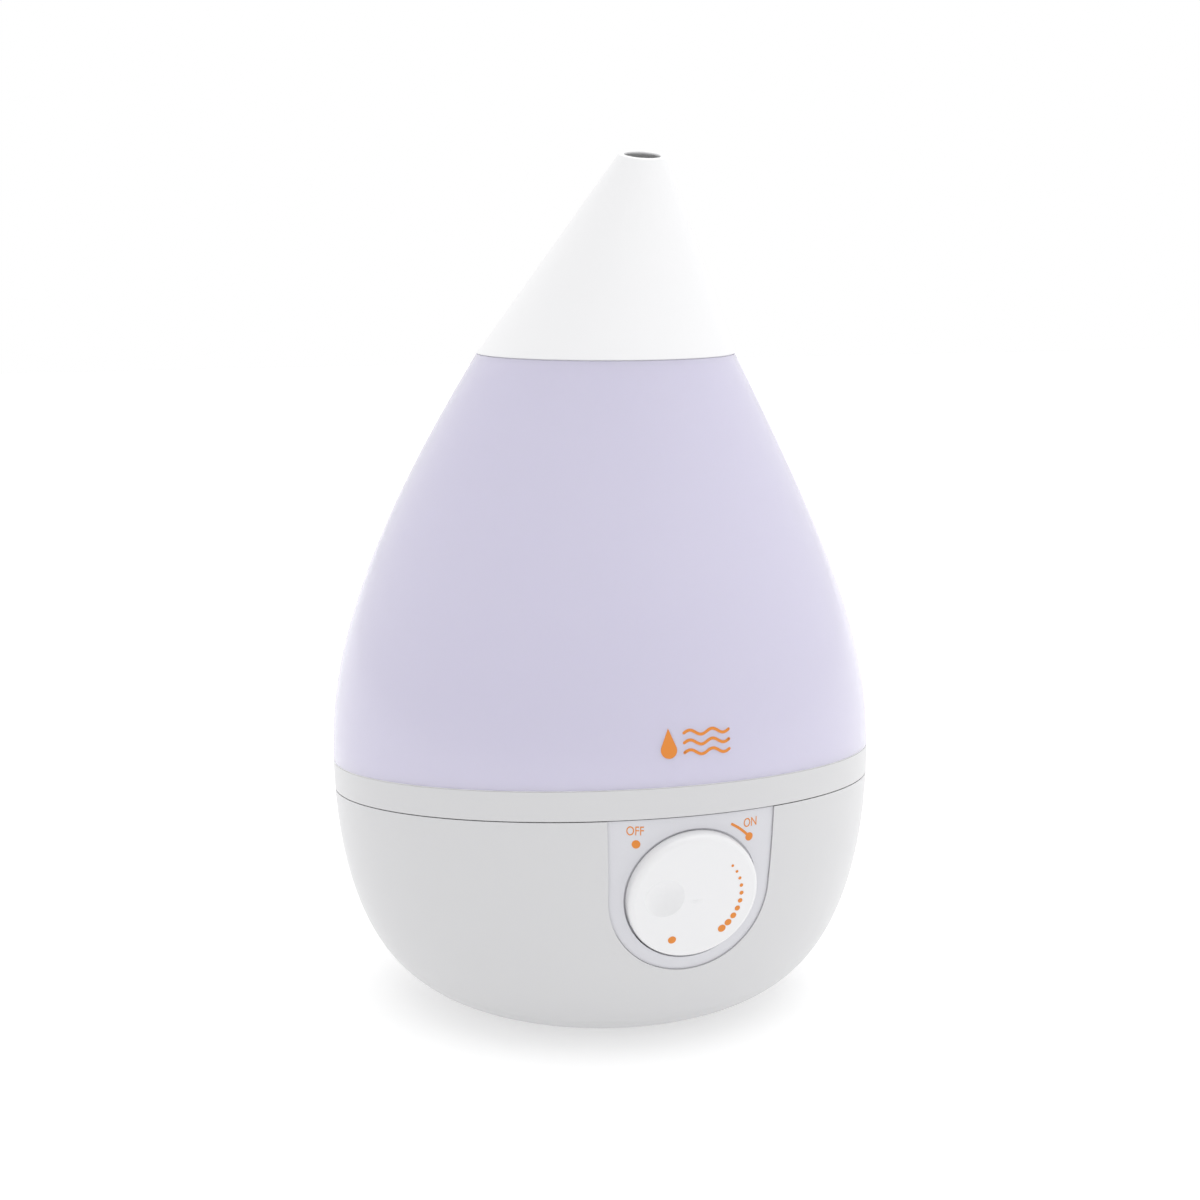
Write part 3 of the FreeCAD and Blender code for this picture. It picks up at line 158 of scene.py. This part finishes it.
def moulded_plastic(name, light, dark, rough, grain_size=0.6 * MM, grain_depth=0.01 * MM,
                    subsurface=0.0, flow=60 * MM, glow=0.0):
    """Injection-moulded plastic: a fine spark-eroded grain, and slow changes of tone from the flow."""
    material, tree = start_material(name)
    flowing = grain(tree, flow, 2.0)
    fine = grain(tree, grain_size)
    shader = add_node(tree, "ShaderNodeBsdfPrincipled", None, {
        "Base Color": tinted(tree, flowing, light, dark),
        "Roughness": spread(tree, flowing, rough - 0.02, rough + 0.02),
        "Normal": bump(tree, fine, 0.5, grain_depth),
        "IOR": PLASTIC_IOR})
    shader.inputs["Subsurface Weight"].default_value = subsurface
    shader.inputs["Subsurface Radius"].default_value = SCATTER
    shader.inputs["Subsurface Scale"].default_value = 1.0
    shader.inputs["Emission Color"].default_value = to_linear("#FFFFFF")
    shader.inputs["Emission Strength"].default_value = glow
    finish_material(tree, shader.outputs["BSDF"])
    return material


def white_abs_with_painted_shade():
    """ABS, injection-moulded and satin: white with a soft, even gloss; its colour is greyed below the knob's
    and nozzle's white as painted shade.
    """
    # painted shade: the housing's white is set darker than the plastic is, standing for the shade the bowl
    # sits in
    return moulded_plastic("white_abs_moulded_with_painted_shade", "#CDCDCE", "#CACACC", 0.30)


def lilac_abs_with_painted_shade():
    """ABS, moulded in a faintly lilac white for the control panel, greyed like the housing's white as painted
    shade.
    """
    # painted shade: the panel's lilac white is set about as grey as the shaded housing
    return moulded_plastic("lilac_white_abs_moulded_with_painted_shade", "#D0D0D5", "#CDCDD2", 0.33)


def knob_abs():
    """ABS, moulded against a polished tool: a little glossier than the housing."""
    return moulded_plastic("knob_abs_polished", "#E4E4E5", "#E1E1E3", 0.24)


def nozzle_pp():
    """Polypropylene, moulded thin: a waxy white that lets a little light in."""
    return moulded_plastic("white_polypropylene_moulded", "#EEEEEF", "#ECECED", 0.36)


def tank_pp(name, light, dark, through, rough):
    """Translucent polypropylene: tinted through, with a frosted inside that scatters the light."""
    material, tree = start_material(name)
    flowing = grain(tree, 80 * MM, 2.0)
    fine = grain(tree, 0.8 * MM)
    shader = add_node(tree, "ShaderNodeBsdfPrincipled", None, {
        "Base Color": tinted(tree, flowing, light, dark),
        "Roughness": spread(tree, grain(tree, 20 * MM), rough - 0.02, rough + 0.02),
        "Normal": bump(tree, fine, 0.4, 0.01 * MM)})
    shader.inputs["IOR"].default_value = TANK_IOR
    shader.inputs["Transmission Weight"].default_value = through
    shader.inputs["Subsurface Weight"].default_value = 0.5
    shader.inputs["Subsurface Radius"].default_value = TANK_SCATTER
    shader.inputs["Subsurface Scale"].default_value = 1.0
    finish_material(tree, shader.outputs["BSDF"])
    return material


def orange_ink():
    """Pad-printed orange ink: flat and slightly rough."""
    return moulded_plastic("orange_pad_print", "#DC8428", "#D67E22", 0.5, grain_size=0.3 * MM)


def grey_rubber():
    """Moulded rubber: dull, with a coarse grain."""
    return moulded_plastic("grey_rubber_moulded", "#8A8A8C", "#808083", 0.75, grain_size=0.5 * MM,
                           grain_depth=0.04 * MM)


def silicone():
    """Moulded silicone: milky and soft."""
    return moulded_plastic("milky_silicone_moulded", "#E8E6E2", "#E2DFDA", 0.5, subsurface=0.4)


def dark_pbt():
    """Black PBT, moulded: dark, with a satin sheen."""
    return moulded_plastic("black_pbt_moulded", "#1C1C1F", "#17171A", 0.42, grain_size=0.5 * MM)


def circuit_board():
    """Glass-epoxy board: green solder mask over copper tracks, seen as slightly raised, lighter lines."""
    material, tree = start_material("green_solder_mask")
    place = object_place(tree)
    tracks = add_node(tree, "ShaderNodeTexBrick", {"offset": 0.5}, {
        "Vector": place, "Scale": 1.0, "Mortar Size": 0.4 * MM, "Brick Width": 9 * MM,
        "Row Height": 3 * MM, "Mortar Smooth": 0.1})
    shader = add_node(tree, "ShaderNodeBsdfPrincipled", None, {
        "Base Color": tinted(tree, tracks.outputs["Fac"], "#14522B", "#2C7A45"),
        "Normal": bump(tree, tracks.outputs["Fac"], 0.6, 0.05 * MM)})
    shader.inputs["Roughness"].default_value = 0.3
    finish_material(tree, shader.outputs["BSDF"])
    return material


LINE_WIDTH = 0.3 * MM            # turned and brushed lines, drawn coarse enough to show
LINE_DEPTH = 0.01 * MM


def metal(name, light, dark, rough):
    """A metal with fine turned or brushed lines."""
    material, tree = start_material(name)
    stretched = add_node(tree, "ShaderNodeMapping", None,
                         {"Vector": object_place(tree), "Scale": (1.0, 1.0, 12.0)}).outputs["Vector"]
    lines = add_node(tree, "ShaderNodeTexNoise", None,
                     {"Vector": stretched, "Scale": 1 / (8 * LINE_WIDTH), "Detail": 3.0}).outputs["Fac"]
    shader = add_node(tree, "ShaderNodeBsdfPrincipled", None, {
        "Base Color": tinted(tree, lines, light, dark),
        "Roughness": spread(tree, lines, rough - 0.06, rough + 0.06),
        "Normal": bump(tree, lines, 0.4, LINE_DEPTH)})
    shader.inputs["Metallic"].default_value = 1.0
    finish_material(tree, shader.outputs["BSDF"])
    return material


# ---------------------------------------------------------------- finishes for the CAD nodes

def finish_table():
    """Each material, and the nodes that are made of it."""
    return [
        (white_abs_with_painted_shade(), ["lower_housing", "bottom_cover", "deck_ring", "basin", "air_chimney"]),
        (lilac_abs_with_painted_shade(), ["control_panel"]),
        (knob_abs(), ["control_knob"]),
        (nozzle_pp(), ["mist_nozzle", "nozzle_collar", "tank_cap", "valve_plunger", "valve_post",
                       "float_post", "float_body"]),
        (tank_pp("lavender_polypropylene_frosted", "#D9D5ED", "#D6D2EB", 0.12, 0.2),
         ["tank_shell", "tank_floor", "tank_top"]),
        (tank_pp("clear_polypropylene_frosted", "#E2DFF0", "#DFDCEE", 0.3, 0.3), ["mist_tube"]),
        (grey_rubber(), ["rubber_feet"]),
        (silicone(), ["transducer_seal", "cap_gasket", "valve_seal"]),
        (dark_pbt(), ["fan_frame", "fan_rotor", "power_inlet", "transformer", "capacitor"]),
        (moulded_plastic("natural_abs_moulded", "#D8D8D6", "#D0D0CE", 0.5), ["air_duct", "board_standoffs"]),
        (circuit_board(), ["driver_board", "power_board", "reed_switch"]),
        (metal("zinc_plated_steel", "#B9BABD", "#A4A6AA", 0.35),
         ["housing_screws", "fan_screws", "transducer_screws", "board_screws"]),
        (metal("turned_steel", "#C2C2C4", "#A8A9AC", 0.25),
         ["fan_shaft", "dial_shaft", "potentiometer", "float_clip", "valve_spring"]),
        (metal("bright_brass", "#D8BC72", "#C8A95E", 0.28), ["potentiometer_nut", "inlet_pins"]),
        (metal("enamelled_copper_wire", "#B4602E", "#8E4520", 0.35), ["fan_coil"]),
        (metal("blasted_aluminium", "#C8C9CC", "#B8B9BD", 0.5), ["transducer_clamp", "heat_sink"]),
        (metal("silvered_ceramic", "#DAD8D2", "#CBC9C2", 0.3), ["transducer_disc"]),
        (metal("sintered_ferrite", "#3A3A3D", "#2C2C2F", 0.6), ["float_magnet"]),
        (moulded_plastic("soft_pvc_sheath", "#3C3C40", "#333337", 0.45, grain_size=1.0 * MM),
         ["transducer_leads", "fan_leads", "dial_leads", "inlet_leads", "float_leads", "link_leads"]),
    ]


# ---------------------------------------------------------------- printed marks

INK = 0.06 * MM                  # thickness of a printed mark
REACH = 200 * MM                 # how far off a mark starts on its way to the surface
DOT_SIDES = 32
ARC_STEPS = 12


def dot(bm, place, radius):
    made = bmesh.ops.create_circle(bm, cap_ends=True, segments=DOT_SIDES, radius=radius)
    bmesh.ops.translate(bm, verts=made["verts"], vec=(place[0], place[1], 0))


def on_circle(radius, angle):
    return radius * math.cos(angle), radius * math.sin(angle)


def stroke(bm, points, width):
    """A line of one width through flat points, with round ends."""
    sides = []
    for i, point in enumerate(points):
        before, after = points[max(0, i - 1)], points[min(len(points) - 1, i + 1)]
        along = Vector((after[0] - before[0], after[1] - before[1], 0)).normalized()
        across = Vector((-along.y, along.x, 0)) * width / 2
        middle = Vector((point[0], point[1], 0))
        sides.append((bm.verts.new(middle + across), bm.verts.new(middle - across)))
    for one, other in zip(sides, sides[1:]):
        bm.faces.new((one[0], one[1], other[1], other[0]))
    dot(bm, points[0], width / 2)
    dot(bm, points[-1], width / 2)


def letters(bm, text, place, height):
    """A short word in plain capitals, drawn as flat faces."""
    curve = bpy.data.curves.new("letters", "FONT")
    curve.body = text
    curve.size = height / 0.7
    curve.align_x = "CENTER"
    curve.align_y = "CENTER"
    holder = bpy.data.objects.new("letters", curve)
    bpy.context.scene.collection.objects.link(holder)
    seen = holder.evaluated_get(bpy.context.evaluated_depsgraph_get())
    mesh = bpy.data.meshes.new_from_object(seen)
    mesh.transform(Matrix.Translation((place[0], place[1], 0)) @ Matrix.Diagonal((0.78, 1.0, 1.0, 1.0)))
    bm.from_mesh(mesh)
    bpy.data.objects.remove(holder)
    bpy.data.curves.remove(curve)
    bpy.data.meshes.remove(mesh)


def printed(name, bm, node, place, body):
    """Lays flat shapes on a node's surface, along the z axis of a frame, as a thin layer of ink."""
    up = bmesh.ops.extrude_face_region(bm, geom=bm.faces[:])["geom"]
    bmesh.ops.translate(bm, verts=[v for v in up if isinstance(v, bmesh.types.BMVert)], vec=(0, 0, INK))
    away = place.to_3x3() @ Vector((0, 0, 1))
    for vert in bm.verts:
        start = place @ Vector((vert.co.x, vert.co.y, REACH))
        found, point, normal, _ = NODES[node].ray_cast(start, -away)
        if not found:
            raise RuntimeError("a printed mark misses " + node)
        vert.co = point + normal * (vert.co.z + INK / 3)
    return new_piece(name, bm, orange_ink(), body)


# ---------------------------------------------------------------- settings

class HumidifierSettings(bpy.types.PropertyGroup):
    """Sizes and places of the printed marks and the highlight beads in the seams, and the stage's lights,
    floor and camera.
    """
    dot_circle: bpy.props.FloatProperty(
        name="Dot circle", description="Radius of the circle of dots on the knob", default=18.6 * MM,
        unit="LENGTH")
    first_dot: bpy.props.FloatProperty(
        name="First dot", description="Where the smallest dot is, from the right, counterclockwise",
        default=math.radians(42), subtype="ANGLE")
    dot_step: bpy.props.FloatProperty(
        name="Dot step", description="Angle from one dot to the next", default=math.radians(10.2),
        subtype="ANGLE")
    stop_dot: bpy.props.FloatProperty(
        name="Stop dot", description="Where the single dot is, from the right, counterclockwise",
        default=math.radians(-115), subtype="ANGLE")
    letter_height: bpy.props.FloatProperty(
        name="Letter height", description="Height of the panel's capitals", default=3.4 * MM, unit="LENGTH")
    mark_azimuth: bpy.props.FloatProperty(
        name="Mark azimuth", description="Where the tank's mark is, from the front to the right",
        default=math.radians(0), subtype="ANGLE")
    mark_height: bpy.props.FloatProperty(
        name="Mark height", description="Height of the tank's mark above the floor", default=128.5 * MM,
        unit="LENGTH")
    smallest_dot: bpy.props.FloatProperty(
        name="Smallest dot", description="Radius of the smallest dot", default=0.55 * MM, unit="LENGTH")
    largest_dot: bpy.props.FloatProperty(
        name="Largest dot", description="Radius of the largest dot", default=1.6 * MM, unit="LENGTH")
    # painted highlight: the beads are pale rings that stand in for the bright lines along the seams
    highlight_bead_thickness: bpy.props.FloatProperty(
        name="Bead", description="Thickness of the beads in the seams", default=0.36 * MM, unit="LENGTH")
    nozzle_seam: bpy.props.FloatProperty(
        name="Nozzle seam", description="Height of the nozzle's lower edge", default=266.1 * MM,
        unit="LENGTH")
    deck_seam_height: bpy.props.FloatProperty(
        name="Deck seam", description="Height of the seam under the tank, on the axis", default=101.4 * MM,
        unit="LENGTH")
    deck_seam_tilt: bpy.props.FloatProperty(
        name="Seam tilt", description="How far the seam under the tank leans down to the back",
        default=math.radians(5.67), subtype="ANGLE")
    deck_seam_radius: bpy.props.FloatProperty(
        name="Seam radius", description="Radius of the bead under the tank", default=110.75 * MM,
        unit="LENGTH")
    deck_seam_stretch: bpy.props.FloatProperty(
        name="Seam stretch", description="How much longer the tilted seam is than it is wide", default=1.0026)
    dim_azimuth: bpy.props.FloatProperty(
        name="Dim side", description="Side of the studio that is dimmest, from the front to the right",
        default=math.radians(-56), subtype="ANGLE")
    sky_bright: bpy.props.FloatProperty(
        name="Bright side", description="Strength of the studio opposite its dim side", default=1.0)
    sky_dim: bpy.props.FloatProperty(
        name="Dim strength", description="Strength of the studio on its dim side", default=0.68)
    overhead: bpy.props.FloatProperty(
        name="Overhead light", description="Strength of the overhead light", default=1.22)
    floor_size: bpy.props.FloatProperty(
        name="Floor size", description="Width of the floor", default=8.0, unit="LENGTH")
    camera_distance: bpy.props.FloatProperty(
        name="Camera distance", description="From the lens to the object's middle", default=0.872,
        unit="LENGTH")


# ---------------------------------------------------------------- operators

class HUMIDIFIER_OT_finishes(bpy.types.Operator):
    """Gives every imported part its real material"""
    bl_idname = "humidifier.finishes"
    bl_label = "Finish the parts"

    def execute(self, context):
        for material, names in finish_table():
            for name in names:
                NODES[name].data.materials.clear()
                NODES[name].data.materials.append(material)
        return {"FINISHED"}


class HUMIDIFIER_OT_stage(bpy.types.Operator):
    """Adds the floor, the lights, the sky and the camera"""
    bl_idname = "humidifier.stage"
    bl_label = "Set the stage"

    def execute(self, context):
        settings = context.scene.humidifier
        bm = bmesh.new()
        bmesh.ops.create_grid(bm, x_segments=1, y_segments=1, size=settings.floor_size / 2)
        mesh = bpy.data.meshes.new("floor")
        bm.to_mesh(mesh)
        bm.free()
        floor = bpy.data.objects.new("floor", mesh)
        context.scene.collection.objects.link(floor)
        paint = moulded_plastic("pale_floor_paint", "#D0D0D0", "#CECECE", 0.9, flow=500 * MM, glow=0.45)
        mesh.materials.append(paint)
        set_sky(context.scene, settings)
        set_lights(context.scene, settings)
        set_camera(context.scene, settings)
        return {"FINISHED"}


def set_sky(scene, settings):
    """A white studio that is dimmer on the side the dim direction points to."""
    world = bpy.data.worlds.new("studio")
    world.use_nodes = True
    tree = world.node_tree
    around = add_node(tree, "ShaderNodeTexCoord").outputs["Generated"]
    azimuth = settings.dim_azimuth
    away = Vector((math.sin(azimuth), -math.cos(azimuth), -0.15)).normalized()
    facing = add_node(tree, "ShaderNodeVectorMath", {"operation": "DOT_PRODUCT"}, {0: around, 1: away})
    strength = add_node(tree, "ShaderNodeMapRange", None, {
        "Value": facing.outputs["Value"], "From Min": -0.25, "From Max": 1.0,
        "To Min": settings.sky_bright, "To Max": settings.sky_dim})
    tree.links.new(strength.outputs["Result"], tree.nodes["Background"].inputs["Strength"])
    tree.nodes["Background"].inputs["Color"].default_value = to_linear("#FFFFFF")
    scene.world = world
    scene.view_settings.view_transform = "Standard"


LIGHT_WIDTH = math.radians(70)
LIGHT_LEAN = math.radians(5)


def set_lights(scene, settings):
    """One wide overhead light, the same all over the floor."""
    data = bpy.data.lights.new("overhead", "SUN")
    data.energy = settings.overhead
    data.angle = LIGHT_WIDTH
    light = bpy.data.objects.new("overhead", data)
    light.rotation_euler = (0, LIGHT_LEAN, 0)
    scene.collection.objects.link(light)


CAMERA_AZIMUTH = math.radians(-18.9)
CAMERA_ELEVATION = math.radians(10.0)
CAMERA_TARGET = Vector((0, 0, 163.5 * MM))
CAMERA_LENS, CAMERA_SENSOR = 63.1, 36.0      # millimetres on the camera's own scale
CAMERA_NEAR, CAMERA_FAR = 0.01, 50.0


def set_camera(scene, settings):
    azimuth, elevation, target = CAMERA_AZIMUTH, CAMERA_ELEVATION, CAMERA_TARGET
    back = Vector((math.sin(azimuth) * math.cos(elevation), -math.cos(azimuth) * math.cos(elevation),
                   math.sin(elevation)))
    data = bpy.data.cameras.new("camera")
    data.lens = CAMERA_LENS
    data.sensor_width = CAMERA_SENSOR
    data.clip_start, data.clip_end = CAMERA_NEAR, CAMERA_FAR
    camera = bpy.data.objects.new("camera", data)
    camera.location = target + back * settings.camera_distance
    camera.rotation_mode = "QUATERNION"
    camera.rotation_quaternion = (-back).to_track_quat("-Z", "Y")
    scene.collection.objects.link(camera)
    scene.camera = camera


KNOB_DOTS = 10
DOT_GROWTH = 1.6                 # above 1, the dots grow slowly at first


class HUMIDIFIER_OT_knob_dots(bpy.types.Operator):
    """Prints the ten graded dots and the stop dot on the knob's face"""
    bl_idname = "humidifier.knob_dots"
    bl_label = "Print the knob's dots"

    def execute(self, context):
        settings = context.scene.humidifier
        bm = bmesh.new()
        steps = KNOB_DOTS - 1
        for i in range(steps + 1):
            share = (i / steps) ** DOT_GROWTH
            radius = settings.smallest_dot + (settings.largest_dot - settings.smallest_dot) * share
            dot(bm, on_circle(settings.dot_circle, settings.first_dot - settings.dot_step * i), radius)
        dot(bm, on_circle(settings.dot_circle, settings.stop_dot), settings.largest_dot)
        printed("knob_dots", bm, "control_knob", KNOB_FRAME, "knob")
        return {"FINISHED"}


OFF_DOT = Vector((-22.8, 21.5)) * MM          # from the knob's axis
ON_DOT = Vector((22.4, 20.3)) * MM
ON_ARC = math.radians(18.5)
OFF_WORD = Vector((-0.4, 4.9)) * MM           # from the dot to the middle of its word
ON_WORD = Vector((0.4, 5.4)) * MM


class HUMIDIFIER_OT_panel_marks(bpy.types.Operator):
    """Prints the off and on marks on the control panel"""
    bl_idname = "humidifier.panel_marks"
    bl_label = "Print the panel's marks"

    def execute(self, context):
        settings = context.scene.humidifier
        off, on = OFF_DOT, ON_DOT
        bm = bmesh.new()
        dot(bm, off, settings.largest_dot)
        dot(bm, on, settings.largest_dot)
        reach, start = on.length, math.atan2(on.y, on.x)
        arc = [on_circle(reach, start + ON_ARC * i / ARC_STEPS) for i in range(ARC_STEPS + 1)]
        stroke(bm, arc, 1.0 * MM)
        letters(bm, "OFF", off + OFF_WORD, settings.letter_height)
        letters(bm, "ON", on + ON_WORD, settings.letter_height)
        printed("panel_marks", bm, "control_panel", KNOB_FRAME, "base")
        return {"FINISHED"}


DROP_RADIUS, DROP_TIP = 3.1 * MM, 8.0 * MM    # the tip's distance from the round end's centre
DROP_X, DROP_Y = -10.5 * MM, -2.4 * MM
DROP_STEPS = 32
WAVES = 3
WAVE_X, WAVE_LENGTH = -4.5 * MM, 18 * MM
WAVE_PITCH, WAVE_RISE, WAVE_WIDTH = 3.6 * MM, 0.9 * MM, 1.1 * MM
WAVE_STEPS = 48
WAVE_CRESTS = 2


class HUMIDIFIER_OT_tank_mark(bpy.types.Operator):
    """Prints a plain mist sign, a drop and three waves, on the tank"""
    bl_idname = "humidifier.tank_mark"
    bl_label = "Print the tank's mark"

    def execute(self, context):
        settings = context.scene.humidifier
        bm = bmesh.new()
        drop = []
        side = math.acos(DROP_RADIUS / DROP_TIP)
        for i in range(DROP_STEPS + 1):
            angle = math.pi / 2 + side + (2 * math.pi - 2 * side) * i / DROP_STEPS
            x, y = on_circle(DROP_RADIUS, angle)
            drop.append((DROP_X + x, DROP_Y + y))
        drop.append((DROP_X, DROP_Y + DROP_TIP))
        bm.faces.new([bm.verts.new((x, y, 0)) for x, y in drop])
        for row in range(WAVES):
            high = (row - (WAVES - 1) / 2) * WAVE_PITCH
            wave = [(WAVE_X + WAVE_LENGTH * i / WAVE_STEPS,
                     high + WAVE_RISE * math.sin(i / WAVE_STEPS * 2 * math.pi * WAVE_CRESTS))
                    for i in range(WAVE_STEPS + 1)]
            stroke(bm, wave, WAVE_WIDTH)
        turn = Matrix.Rotation(settings.mark_azimuth, 4, "Z") @ Matrix.Rotation(math.pi / 2, 4, "X")
        place = Matrix.Translation((0, 0, settings.mark_height)) @ turn
        printed("tank_mark", bm, "tank_shell", place, "tank")
        return {"FINISHED"}


BEAD_SIDES, BEAD_STEPS = 12, 192
SEAM_NEAR = 0.02 * MM            # how close to the seam's height its vertices are


def bead(radius, thickness):
    """A thin round ring about the z axis."""
    bm = bmesh.new()
    made = bmesh.ops.create_circle(bm, segments=BEAD_SIDES, radius=thickness / 2)
    bmesh.ops.rotate(bm, verts=made["verts"], cent=(0, 0, 0), matrix=Matrix.Rotation(math.pi / 2, 3, "X"))
    bmesh.ops.translate(bm, verts=made["verts"], vec=(radius, 0, 0))
    bmesh.ops.spin(bm, geom=bm.verts[:] + bm.edges[:], cent=(0, 0, 0), axis=(0, 0, 1),
                   angle=2 * math.pi, steps=BEAD_STEPS, use_merge=True)
    return bm


class HUMIDIFIER_OT_seam_highlight_beads(bpy.types.Operator):
    """Lays a thin pale bead in the seam under the nozzle and the one under the tank: painted highlight lines
    that also fill the seams' shadow gaps
    """
    bl_idname = "humidifier.seam_beads"
    bl_label = "Lay the seam beads"

    def execute(self, context):
        settings = context.scene.humidifier
        thickness = settings.highlight_bead_thickness
        # painted highlight: both beads take the nozzle's white, lighter than the deck ring's white
        white = nozzle_pp()
        seam = [v.co for v in NODES["mist_nozzle"].data.vertices
                if abs(v.co.z - settings.nozzle_seam) < SEAM_NEAR]
        back, front = max(v.y for v in seam), min(v.y for v in seam)
        bm = bead((back - front) / 2 - thickness, thickness)
        place = (0, (back + front) / 2, settings.nozzle_seam - thickness / 2)
        bmesh.ops.translate(bm, verts=bm.verts, vec=place)
        new_piece("nozzle_seam_highlight_bead", bm, white, "nozzle")
        # painted highlight line along the tank's bottom seam, filling its shadow gap
        bm = bead(settings.deck_seam_radius, thickness)
        bmesh.ops.scale(bm, verts=bm.verts, vec=(1, settings.deck_seam_stretch, 1))
        tilt = Matrix.Rotation(-settings.deck_seam_tilt, 3, "X")
        bmesh.ops.rotate(bm, verts=bm.verts, cent=(0, 0, 0), matrix=tilt)
        bmesh.ops.translate(bm, verts=bm.verts, vec=(0, 0, settings.deck_seam_height))
        new_piece("deck_seam_highlight_bead", bm, white, "base")
        return {"FINISHED"}


class HUMIDIFIER_PT_panel(bpy.types.Panel):
    bl_label = "Humidifier"
    bl_idname = "HUMIDIFIER_PT_panel"
    bl_space_type = "VIEW_3D"
    bl_region_type = "UI"
    bl_category = "Humidifier"

    def draw(self, context):
        for operator in OPERATORS:
            self.layout.operator(operator.bl_idname)


OPERATORS = [HUMIDIFIER_OT_finishes, HUMIDIFIER_OT_knob_dots, HUMIDIFIER_OT_panel_marks,
             HUMIDIFIER_OT_tank_mark, HUMIDIFIER_OT_seam_highlight_beads, HUMIDIFIER_OT_stage]
CLASSES = [HumidifierSettings] + OPERATORS + [HUMIDIFIER_PT_panel]


def register():
    for cls in CLASSES:
        bpy.utils.register_class(cls)
    bpy.types.Scene.humidifier = bpy.props.PointerProperty(type=HumidifierSettings)


def unregister():
    del bpy.types.Scene.humidifier
    for cls in reversed(CLASSES):
        bpy.utils.unregister_class(cls)


def main():
    register()
    for operator in OPERATORS:
        group, name = operator.bl_idname.split(".")
        getattr(getattr(bpy.ops, group), name)()


if __name__ == "__main__":
    main()
